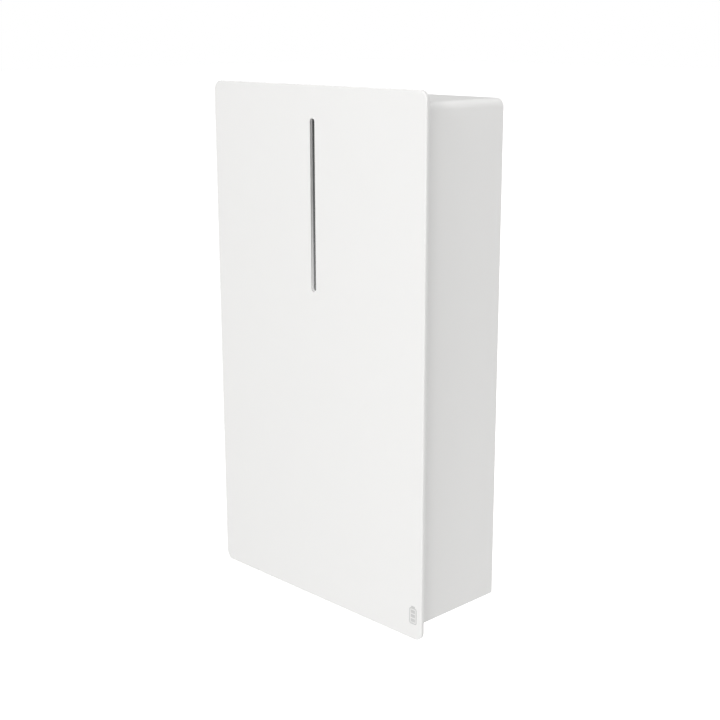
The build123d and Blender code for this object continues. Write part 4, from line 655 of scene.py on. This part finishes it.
grey_plastic = finish("grey plastic", moulding, (0.36, 0.37, 0.38), 0.5, grain=0.6, tone=0.06, bump=0.12)
beige_plastic = finish("beige plastic", moulding, (0.56, 0.52, 0.43), 0.5, grain=0.6, tone=0.06, bump=0.12)
ceramic = finish("fuse ceramic", moulding, (0.80, 0.78, 0.72), 0.3, grain=0.8, tone=0.05, bump=0.08)
brass = finish("brass", rolled_sheet, (0.80, 0.62, 0.30), 0.3, grain=0.5, tone=0.12, gloss=0.16, Metallic=1.0)
cable_jacket = finish("cable jacket", moulding, (0.80, 0.21, 0.02), 0.42, grain=1.5, tone=0.08, bump=0.08)


def loom_braid(tree, where, scale):
    """Crossed threads of a braided sleeve."""
    leaning = []
    for angle in (0.7, -0.7):
        lean = [("Vector", where), ("Rotation", (0.0, angle, 0.0))]
        turned = add_node(tree, "Mapping", lean).outputs["Vector"]
        leaning.append(add_node(tree, "TexWave", [("Vector", turned), ("Scale", scale)]).outputs["Fac"])
    return add_node(tree, "Math", [(0, leaning[0]), (1, leaning[1])], operation="MAXIMUM").outputs[0]


braid = surface_group("braid", loom_braid, drift_of_tone)
loom = finish("loom braid", braid, (0.03, 0.03, 0.032), 0.6, grain=4.0, tone=0.3, gloss=0.15, bump=0.5)
dress(grey_plastic, "dc_breaker")
dress(black_plastic, "breaker_lever", "fuse_holder")
dress(beige_plastic, "terminal_blocks")
dress(ceramic, "main_fuse")
dress(brass, "current_shunt")
dress(cable_jacket, "power_cables")
dress(loom, "monitor_harness")

contactors = bmesh.new()
for x in CONTACTOR_PLACES:
    low = (x - CONTACTOR_HALF, CONTACTOR_FACE + 12.0 * mm, CONTACTOR_HIGH[0])
    add_block(contactors, low, (x + CONTACTOR_HALF, CONTACTOR_BACK, CONTACTOR_HIGH[1]), 3.0 * mm, 3)
    inset = 3.0 * mm
    low = (x - CONTACTOR_HALF + inset, CONTACTOR_FACE + 2.0 * mm, CONTACTOR_HIGH[0] + inset)
    high = (x + CONTACTOR_HALF - inset, CONTACTOR_FACE + 13.0 * mm, CONTACTOR_HIGH[1] - inset)
    add_block(contactors, low, high, 1.5 * mm, 2)
    wall = 1.5 * mm
    low = (x - wall, CONTACTOR_FACE - 6.0 * mm, STUD_HEIGHT - 14.0 * mm)
    add_block(contactors, low, (x + wall, CONTACTOR_FACE + 3.0 * mm, STUD_HEIGHT + 16.0 * mm), 0.6 * mm, 2)
    for side in (-STUD_STEP, STUD_STEP):
        foot = (x + side, CONTACTOR_FACE + 2.5 * mm, STUD_HEIGHT)
        boss = [(0.0, 0.0), (9.0 * mm, 0.0), (9.0 * mm, 1.9 * mm), (8.4 * mm, 2.5 * mm), (0.0, 2.5 * mm)]
        add_turned(contactors, foot, (0, -1, 0), boss, 28)
        stud = [(0.0, 2.4 * mm), (STUD_RADIUS, 2.4 * mm)]
        for ring in range(6):
            height = 4.0 * mm + ring * 1.25 * mm
            stud += [(STUD_RADIUS, height), (STUD_RADIUS - 0.35 * mm, height + 0.6 * mm)]
        stud += [(STUD_RADIUS - 0.4 * mm, 12.5 * mm), (0.0, 12.5 * mm)]
        add_turned(contactors, foot, (0, -1, 0), stud, 18, look=1)
contactor_looks = [grey_plastic, copper]
piece_from("sealed_contactors", contactors, "cabinet", "grey_plastic", "contactors", looks=contactor_looks)

# ---------------------------------------------------------------- gland plate and controls
# A 3 mm aluminium plate closes the case from below and carries everything that passes through it: three
# nylon cable glands, the isolator, the power button, twin data sockets, an earth stud and a breather.
GLAND_PLACES = (60.0 * mm, 108.0 * mm, 156.0 * mm)
GLAND_LINE = -105.0 * mm
PLATE_UPPER = -615.0 * mm
NUT_ACROSS = 16.0 * mm  # corner radius of the clamping nut
NUT_TOP = -625.0 * mm
NUT_FOOT = -644.0 * mm
SLEEVE_RADIUS = 9.6 * mm
SPIGOT_RADIUS = 11.6 * mm
LOCKNUT_HEIGHT = 5.0 * mm
KNOB_PLACE = -150.0 * mm
DIAL_UNDER = -620.0 * mm


def add_nut(shape, x, corner_radius, bore_radius, low, high, edge, look=0):
    """A hexagonal nut round a vertical axis on the glands' line, with its outer edges broken."""
    known = set(shape.faces)
    rings = []
    for radius, segments in ((corner_radius, 6), (bore_radius, 36)):
        loop = bmesh.ops.create_circle(
            shape, segments=segments, radius=radius, matrix=Matrix.Translation((x, GLAND_LINE, low))
        )["verts"]
        rings.append(list({side for vert in loop for side in vert.link_edges}))
    filled = bmesh.ops.triangle_fill(shape, use_beauty=True, use_dissolve=False, edges=rings[0] + rings[1])
    faces = [item for item in filled["geom"] if isinstance(item, bmesh.types.BMFace)]
    raised = bmesh.ops.extrude_face_region(shape, geom=faces)["geom"]
    verts = [item for item in raised if isinstance(item, bmesh.types.BMVert)]
    bmesh.ops.translate(shape, vec=(0.0, 0.0, high - low), verts=verts)
    made = new_items(shape.faces, known)
    bmesh.ops.recalc_face_normals(shape, faces=made)
    outer = []
    for side in {side for face in made for side in face.edges}:
        far = all((vert.co.xy - Vector((x, GLAND_LINE))).length > corner_radius - 1e-5 for vert in side.verts)
        if far:
            outer.append(side)
    bmesh.ops.bevel(shape, geom=outer, offset=edge, affect="EDGES", segments=2, profile=0.5, material=-1)
    for face in new_items(shape.faces, known):
        face.material_index = look


nylon = finish("grey nylon", moulding, (0.30, 0.305, 0.31), 0.45, grain=0.5, tone=0.06, bump=0.14)
knob_red = finish("knob red", moulding, (0.55, 0.02, 0.015), 0.38, grain=0.5, tone=0.08, bump=0.1)
dial_yellow = finish("dial yellow", moulding, (0.83, 0.55, 0.03), 0.42, grain=0.5, tone=0.06, bump=0.1)
mark_white = finish("mark white", moulding, (0.82, 0.82, 0.80), 0.5, grain=0.5, tone=0.04, bump=0.05)
dress(aluminium, "gland_plate")
dress(rubber, "gland_plate_seal", "gland_sleeves")
dress(nylon, "gland_bodies", "vent_plug")
dress(black_plastic, "isolator_body", "button_housing", "power_button", "comm_ports")
dress(brass, "earth_terminal")
dress(dial_yellow, "isolator_dial")
dress(knob_red, "isolator_knob")

nuts = bmesh.new()
for x in GLAND_PLACES:
    add_nut(nuts, x, NUT_ACROSS, SPIGOT_RADIUS, NUT_FOOT + 6.0 * mm, NUT_TOP, 0.8 * mm)
    dome = [(SLEEVE_RADIUS, 0.0), (SPIGOT_RADIUS + 0.3 * mm, 0.0), (12.8 * mm, 0.6 * mm)]
    dome += [(13.6 * mm, 2.2 * mm), (13.9 * mm, 6.1 * mm), (SPIGOT_RADIUS, 6.1 * mm)]
    dome += [(SPIGOT_RADIUS, 4.0 * mm), (SLEEVE_RADIUS, 4.0 * mm)]
    add_turned(nuts, (x, GLAND_LINE, NUT_FOOT), (0, 0, 1), dome + dome[:1], 36)
    add_nut(nuts, x, 17.0 * mm, 12.55 * mm, PLATE_UPPER, PLATE_UPPER + LOCKNUT_HEIGHT, 0.6 * mm)
add_nut(nuts, -85.0 * mm, 11.0 * mm, 8.05 * mm, PLATE_UPPER, PLATE_UPPER + LOCKNUT_HEIGHT, 0.5 * mm)
piece_from("clamping_nuts", nuts, "cabinet", "grey_nylon", "gland_nuts", looks=[nylon])

pointer = bmesh.new()
grip_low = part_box("isolator_knob")[0][2]
add_block(
    pointer,
    (KNOB_PLACE - 1.2 * mm, GLAND_LINE - 16.5 * mm, grip_low - 0.3 * mm),
    (KNOB_PLACE + 1.2 * mm, GLAND_LINE - 4.0 * mm, grip_low + 0.5 * mm),
    0.25 * mm,
    2,
)
piece_from("knob_pointer", pointer, "isolator_knob", "knob_red", looks=[mark_white])
ticks = bmesh.new()
for across in (0, 1):
    ends = ((-0.8 * mm, -23.3 * mm), (0.8 * mm, -20.0 * mm))
    (near, far) = ((end[across], end[1 - across]) for end in ends)
    add_block(
        ticks,
        (KNOB_PLACE + near[0], GLAND_LINE + near[1], DIAL_UNDER - 0.25 * mm),
        (KNOB_PLACE + far[0], GLAND_LINE + far[1], DIAL_UNDER + 0.1 * mm),
        0.08 * mm,
        1,
    )
piece_from("dial_ticks", ticks, "cabinet", "dial_yellow", looks=[black_plastic])

# ---------------------------------------------------------------- hood
# One sheet of 1.5 mm steel bent round the top and both sides of the case, with narrow returns folded in
# at the front and the rear and a closed strip across the bottom of its front. White powder coat.
HOOD_SHEET = 1.5 * mm
HOOD_CORNER = 15.0 * mm
HOOD_FOLD = 1.6 * mm
HOOD_FRAME = 10.0 * mm  # left round the mouth at the sides and the top
HOOD_SKIRT = 55.0 * mm  # and at the bottom
HOOD_REAR_FRAME = 15.5 * mm
HOOD_REAR_TOP = 15.0 * mm
WHITE_ENAMEL = (0.900, 0.897, 0.888)


def wall_face(shape, x, z, y):
    """An upright rectangle that faces out of the wall, as the start of a sheet-metal piece."""
    middle = Vector(((x[0] + x[1]) / 2, y, (z[0] + z[1]) / 2))
    turn = Matrix.Rotation(math.pi / 2, 4, "X")
    grow = Matrix.Diagonal((x[1] - x[0], z[1] - z[0], 1.0, 1.0))
    place = Matrix.Translation(middle) @ turn @ grow
    return bmesh.ops.create_grid(shape, x_segments=1, y_segments=1, size=0.5, matrix=place)["verts"]


def round_corners(shape, verts, radius):
    """Round a flat face's corners."""
    bmesh.ops.bevel(
        shape, geom=verts, offset=radius, affect="VERTICES", segments=12, profile=0.5, material=-1
    )


def open_window(shape, y, x_half, z_low, z_high):
    """Cut a rectangular opening in the flat wall at one depth."""
    for place, along in (
        ((-x_half, 0, 0), (1, 0, 0)),
        ((x_half, 0, 0), (1, 0, 0)),
        ((0, 0, z_low), (0, 0, 1)),
        ((0, 0, z_high), (0, 0, 1)),
    ):
        wall = [face for face in shape.faces if abs(face.calc_center_median().y - y) < 0.1 * mm]
        cut = wall + list({side for face in wall for side in face.edges})
        cut += list({vert for face in wall for vert in face.verts})
        bmesh.ops.bisect_plane(shape, geom=cut, dist=1e-6, plane_co=place, plane_no=along)
    inside = []
    for face in shape.faces:
        middle = face.calc_center_median()
        if abs(middle.y - y) < 0.1 * mm and abs(middle.x) < x_half and z_low < middle.z < z_high:
            inside.append(face)
    bmesh.ops.delete(shape, geom=inside, context="FACES")


def give_wall(piece, thickness):
    """Give an open sheet-metal shell its wall, inwards, and keep its large faces flat."""
    wall = piece.modifiers.new("wall", "SOLIDIFY")
    wall.thickness = thickness
    wall.offset = -1.0
    wall.use_even_offset = True
    piece.modifiers.new("flat faces", "WEIGHTED_NORMAL").keep_sharp = True


white_enamel = finish(
    "white enamel", powder_coat, WHITE_ENAMEL, 0.42, grain=1.1, tone=0.012, gloss=0.05, bump=0.05
)
hood_low, hood_high = (Vector(corner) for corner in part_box("hood"))
cowl = bmesh.new()
hood_corners = wall_face(cowl, (hood_low.x, hood_high.x), (hood_low.z, hood_high.z), hood_low.y)
round_corners(cowl, sorted(hood_corners, key=lambda vert: vert.co.z)[2:], HOOD_CORNER)
rear = bmesh.ops.extrude_face_region(cowl, geom=cowl.faces[:])["geom"]
rear_verts = [item for item in rear if isinstance(item, bmesh.types.BMVert)]
bmesh.ops.translate(cowl, vec=(0.0, hood_high.y - hood_low.y, 0.0), verts=rear_verts)
bmesh.ops.recalc_face_normals(cowl, faces=cowl.faces)
folds = []
for side in cowl.edges:
    a, b = (vert.co for vert in side.verts)
    if abs(a.y - b.y) < 1e-6 and max(a.z, b.z) > hood_low.z + 1e-6:
        folds.append(side)
bmesh.ops.bevel(cowl, geom=folds, offset=HOOD_FOLD, affect="EDGES", segments=4, profile=0.5, material=-1)
underside = [face for face in cowl.faces if face.normal.z < -0.99 and face.calc_area() > 0.01]
bmesh.ops.delete(cowl, geom=underside, context="FACES")
open_window(cowl, hood_low.y, hood_high.x - HOOD_FRAME, hood_low.z + HOOD_SKIRT, hood_high.z - HOOD_FRAME)
open_window(cowl, hood_high.y, hood_high.x - HOOD_REAR_FRAME, hood_low.z - mm, hood_high.z - HOOD_REAR_TOP)
hood_piece = piece_from("hood_sheet", cowl, "cabinet", "white_enamel", "hood", looks=[white_enamel])
give_wall(hood_piece, HOOD_SHEET)

# ---------------------------------------------------------------- service cover
# A flat steel lid on captive screws closes the case against its seal, stiffened by pressed beads. Four
# nylon bushes take the front plate's pins, and four steel discs hold its magnets.
BEAD_WIDTH = 9.0 * mm
BEAD_HEIGHT = 0.7 * mm
BEAD_CORNER = 24.0 * mm
BEAD_HALF = 165.0 * mm
BEAD_SPANS = ((-520.0 * mm, -340.0 * mm), (-305.0 * mm, -110.0 * mm))

cover_enamel = finish("cover enamel", powder_coat, (0.70, 0.705, 0.71), 0.48, grain=1.2, tone=0.03, bump=0.12)
black_nylon = finish("black nylon", moulding, (0.024, 0.024, 0.025), 0.5, grain=0.5, tone=0.25, bump=0.15)
screw_steel = finish("screw steel", rolled_sheet, (0.50, 0.50, 0.49), 0.32, grain=0.4, tone=0.1, Metallic=1.0)
dress(cover_enamel, "service_cover")
dress(black_nylon, "pin_sockets")
dress(screw_steel, "cover_screws")
dress(zinc, "magnet_keepers")
cover_low = Vector(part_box("service_cover")[0])
beads = bmesh.new()
for low, high in BEAD_SPANS:
    known = set(beads.faces)
    corners = wall_face(beads, (-BEAD_HALF, BEAD_HALF), (low, high), cover_low.y)
    round_corners(beads, corners, BEAD_CORNER)
    panel = new_items(beads.faces, known)
    bmesh.ops.inset_region(beads, faces=panel, thickness=BEAD_WIDTH, use_boundary=True, use_even_offset=True)
    inner = max(new_items(beads.faces, known), key=lambda face: face.calc_area())
    bmesh.ops.delete(beads, geom=[inner], context="FACES")
    band = new_items(beads.faces, known)
    raised = bmesh.ops.extrude_face_region(beads, geom=band)["geom"]
    verts = [item for item in raised if isinstance(item, bmesh.types.BMVert)]
    bmesh.ops.translate(beads, vec=(0.0, -BEAD_HEIGHT, 0.0), verts=verts)
    made = new_items(beads.faces, known)
    bmesh.ops.recalc_face_normals(beads, faces=made)
    crest = []
    for side in {side for face in made for side in face.edges}:
        on_top = all(vert.co.y < cover_low.y - 1e-5 for vert in side.verts)
        if on_top and side.calc_face_angle(0.0) > 0.5:
            crest.append(side)
    bmesh.ops.bevel(beads, geom=crest, offset=0.6 * mm, affect="EDGES", segments=3, profile=0.5, material=-1)
piece_from("cover_beads", beads, "service_cover", "case_enamel", looks=[cover_enamel], crease=60.0)

# ---------------------------------------------------------------- status light
# A black housing sealed into the cover holds a board with a row of lamps, an opal guide over them and a
# smoked lens, which stands back in the front plate's slot. The lamps give no light. The lens has painted
# shade at its top and painted light at its foot, and a faint painted glow on the front plate's board stands
# in for light at the slot's foot.
SLOT_WIDTH = 12.5 * mm
SLOT_LENGTH = 317.0 * mm
SLOT_DROP = 59.0 * mm  # from the plate's top edge
LENS_EDGE = 0.4 * mm
# Painted shade at the lens's top and painted light at its foot.
LENS_SHADED_TOP = (0.045, 0.046, 0.048)
LENS_LIT_FOOT = (0.15, 0.151, 0.153)


def stadium_loop(shape, middle, width, length):
    """An upright loop with two round ends; returns its edges."""
    half_step = Matrix.Rotation(math.pi / 40, 4, "Y")
    place = Matrix.Translation(middle) @ half_step @ Matrix.Rotation(math.pi / 2, 4, "X")
    loop = bmesh.ops.create_circle(shape, segments=40, radius=width / 2, matrix=place)["verts"]
    for side in (-1.0, 1.0):
        end = [vert for vert in loop if (vert.co.z - middle.z) * side > 0.0]
        bmesh.ops.translate(shape, vec=(0.0, 0.0, side * (length - width) / 2), verts=end)
    return list({side for vert in loop for side in vert.link_edges})


smoked = finish(
    "smoked lens", moulding, LENS_SHADED_TOP, 0.16, grain=3.0, tone=0.04, gloss=0.04, bump=0.01, Coat_Weight=0.4
)
# Painted shade and light: the lens's colour runs by height from the dark top colour to the lighter foot
# colour.
lens_tree = smoked.node_tree
lens_low, lens_high = (Vector(corner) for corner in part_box("light_lens"))
where = add_node(lens_tree, "TexCoord").outputs["Object"]
spot = add_node(lens_tree, "SeparateXYZ", [(0, where)]).outputs["Z"]
down = add_node(lens_tree, "MapRange", [("Value", spot), ("From Min", lens_low.z), ("From Max", lens_high.z)])
shade = add_node(lens_tree, "Mix", data_type="RGBA")
lens_tree.links.new(down.outputs[0], shade.inputs[0])
shade.inputs[6].default_value = (*LENS_LIT_FOOT, 1.0)
shade.inputs[7].default_value = (*LENS_SHADED_TOP, 1.0)
mixes = [node for node in lens_tree.nodes if node.bl_idname == "ShaderNodeMix"]
dyed = [node for node in mixes if node.blend_type == "MULTIPLY"][0]
lens_tree.links.new(shade.outputs[2], dyed.inputs[6])
opal = finish("opal guide", moulding, (0.82, 0.82, 0.80), 0.35, grain=1.0, tone=0.03, bump=0.05)
lamp_yellow = finish("lamp yellow", moulding, (0.78, 0.62, 0.20), 0.3, grain=0.5, tone=0.05, bump=0.05)
dress(black_nylon, "light_housing")
dress(opal, "light_guide")
dress(lamp_yellow, "status_leds")
lens = bmesh.new()
lens_middle = (lens_low + lens_high) / 2
lens_middle.y = lens_high.y
stadium_loop(lens, lens_middle, lens_high.x - lens_low.x, lens_high.z - lens_low.z)
outline = bmesh.ops.contextual_create(lens, geom=lens.edges[:])["faces"]
face_out = bmesh.ops.extrude_face_region(lens, geom=outline)["geom"]
verts = [item for item in face_out if isinstance(item, bmesh.types.BMVert)]
bmesh.ops.translate(lens, vec=(0.0, lens_low.y - lens_high.y, 0.0), verts=verts)
bmesh.ops.recalc_face_normals(lens, faces=lens.faces)
rim = [side for side in lens.edges if all(vert.co.y < lens_low.y + 1e-6 for vert in side.verts)]
bmesh.ops.bevel(lens, geom=rim, offset=LENS_EDGE, affect="EDGES", segments=3, profile=0.5, material=-1)
piece_from("smoked_lens", lens, "service_cover", "smoked_lens", "light_lens", looks=[smoked])

# ---------------------------------------------------------------- front plate
# A shallow tray of 1.5 mm sheet steel with a rounded fold all round, coated like the hood, and a white
# board bonded into it. It hangs on four steel pins and four magnets, and a slot shows the status light.
PLATE_CORNER = 18.0 * mm
PLATE_FOLD = 1.9 * mm
PLATE_SHEET = 1.5 * mm
SLOT_PAINTED_LIGHT = 0.24  # at the foot of the slot
PAINTED_LIGHT_REACH = 0.58  # of the slot's length

tray = bmesh.new()
corners = wall_face(tray, (plate_low.x, plate_high.x), (plate_low.z, plate_high.z), plate_low.y)
round_corners(tray, corners, PLATE_CORNER)
front_rim = tray.edges[:]
sides = bmesh.ops.extrude_edge_only(tray, edges=front_rim)["geom"]
side_verts = [item for item in sides if isinstance(item, bmesh.types.BMVert)]
bmesh.ops.translate(tray, vec=(0.0, plate_high.y - plate_low.y, 0.0), verts=side_verts)
bmesh.ops.bevel(tray, geom=front_rim, offset=PLATE_FOLD, affect="EDGES", segments=5, profile=0.5, material=-1)
face = max(tray.faces, key=lambda item: item.calc_area())
face_edges = face.edges[:]
bmesh.ops.delete(tray, geom=[face], context="FACES_ONLY")
slot_middle = Vector((0.0, plate_low.y, plate_high.z - SLOT_DROP - SLOT_LENGTH / 2))
slot_edges = stadium_loop(tray, slot_middle, SLOT_WIDTH, SLOT_LENGTH)
bmesh.ops.triangle_fill(tray, use_beauty=True, use_dissolve=False, edges=face_edges + slot_edges)
bmesh.ops.recalc_face_normals(tray, faces=tray.faces)
if max(tray.faces, key=lambda item: item.calc_area()).normal.y > 0.0:
    bmesh.ops.reverse_faces(tray, faces=tray.faces)
tray_looks = [white_enamel]
panel_piece = piece_from("front_panel", tray, "front_plate", "white_enamel", "front_plate", looks=tray_looks)
give_wall(panel_piece, PLATE_SHEET)

white_board = finish("white board", moulding, (0.80, 0.80, 0.79), 0.6, grain=0.8, tone=0.03, bump=0.1)
# Painted light: the board glows faintly by its own emission beside the slot. The glow is brightest at the
# status light's foot and fades upwards, though the lamps give no light.
board_tree = white_board.node_tree
spot = add_node(board_tree, "SeparateXYZ", [(0, add_node(board_tree, "TexCoord").outputs["Object"])])
fade_top = lens_low.z + PAINTED_LIGHT_REACH * (lens_high.z - lens_low.z)
fade_values = [("Value", spot.outputs["Z"]), ("From Min", lens_low.z), ("From Max", fade_top)]
fade_values += [("To Min", SLOT_PAINTED_LIGHT), ("To Max", 0.0)]
glow = add_node(board_tree, "MapRange", fade_values).outputs[0]
across = add_node(board_tree, "Math", [(0, spot.outputs["X"])], operation="ABSOLUTE").outputs[0]
beside = add_node(board_tree, "Math", [(0, across), (1, SLOT_WIDTH)], operation="LESS_THAN").outputs[0]
foot_values = [(0, spot.outputs["Z"]), (1, lens_low.z - SLOT_WIDTH)]
above = add_node(board_tree, "Math", foot_values, operation="GREATER_THAN").outputs[0]
for mask in (beside, above):
    glow = add_node(board_tree, "Math", [(0, glow), (1, mask)], operation="MULTIPLY").outputs[0]
board_shader = board_tree.nodes["Principled BSDF"]
board_tree.links.new(glow, board_shader.inputs["Emission Color"])
board_shader.inputs["Emission Strength"].default_value = 1.0
pin_steel = finish(
    "pin steel", rolled_sheet, (0.62, 0.62, 0.61), 0.22, grain=0.3, tone=0.05, gloss=0.1, Metallic=1.0
)
nickel = finish(
    "magnet nickel", rolled_sheet, (0.70, 0.67, 0.62), 0.2, grain=0.5, tone=0.05, gloss=0.1, Metallic=1.0
)
badge_grey = finish("badge grey", powder_coat, (0.63, 0.63, 0.625), 0.45, grain=0.8, tone=0.03, bump=0.05)
dress(white_board, "plate_stiffener")
dress(pin_steel, "plate_pins")
dress(nickel, "plate_magnets")
dress(badge_grey, "plate_badge")
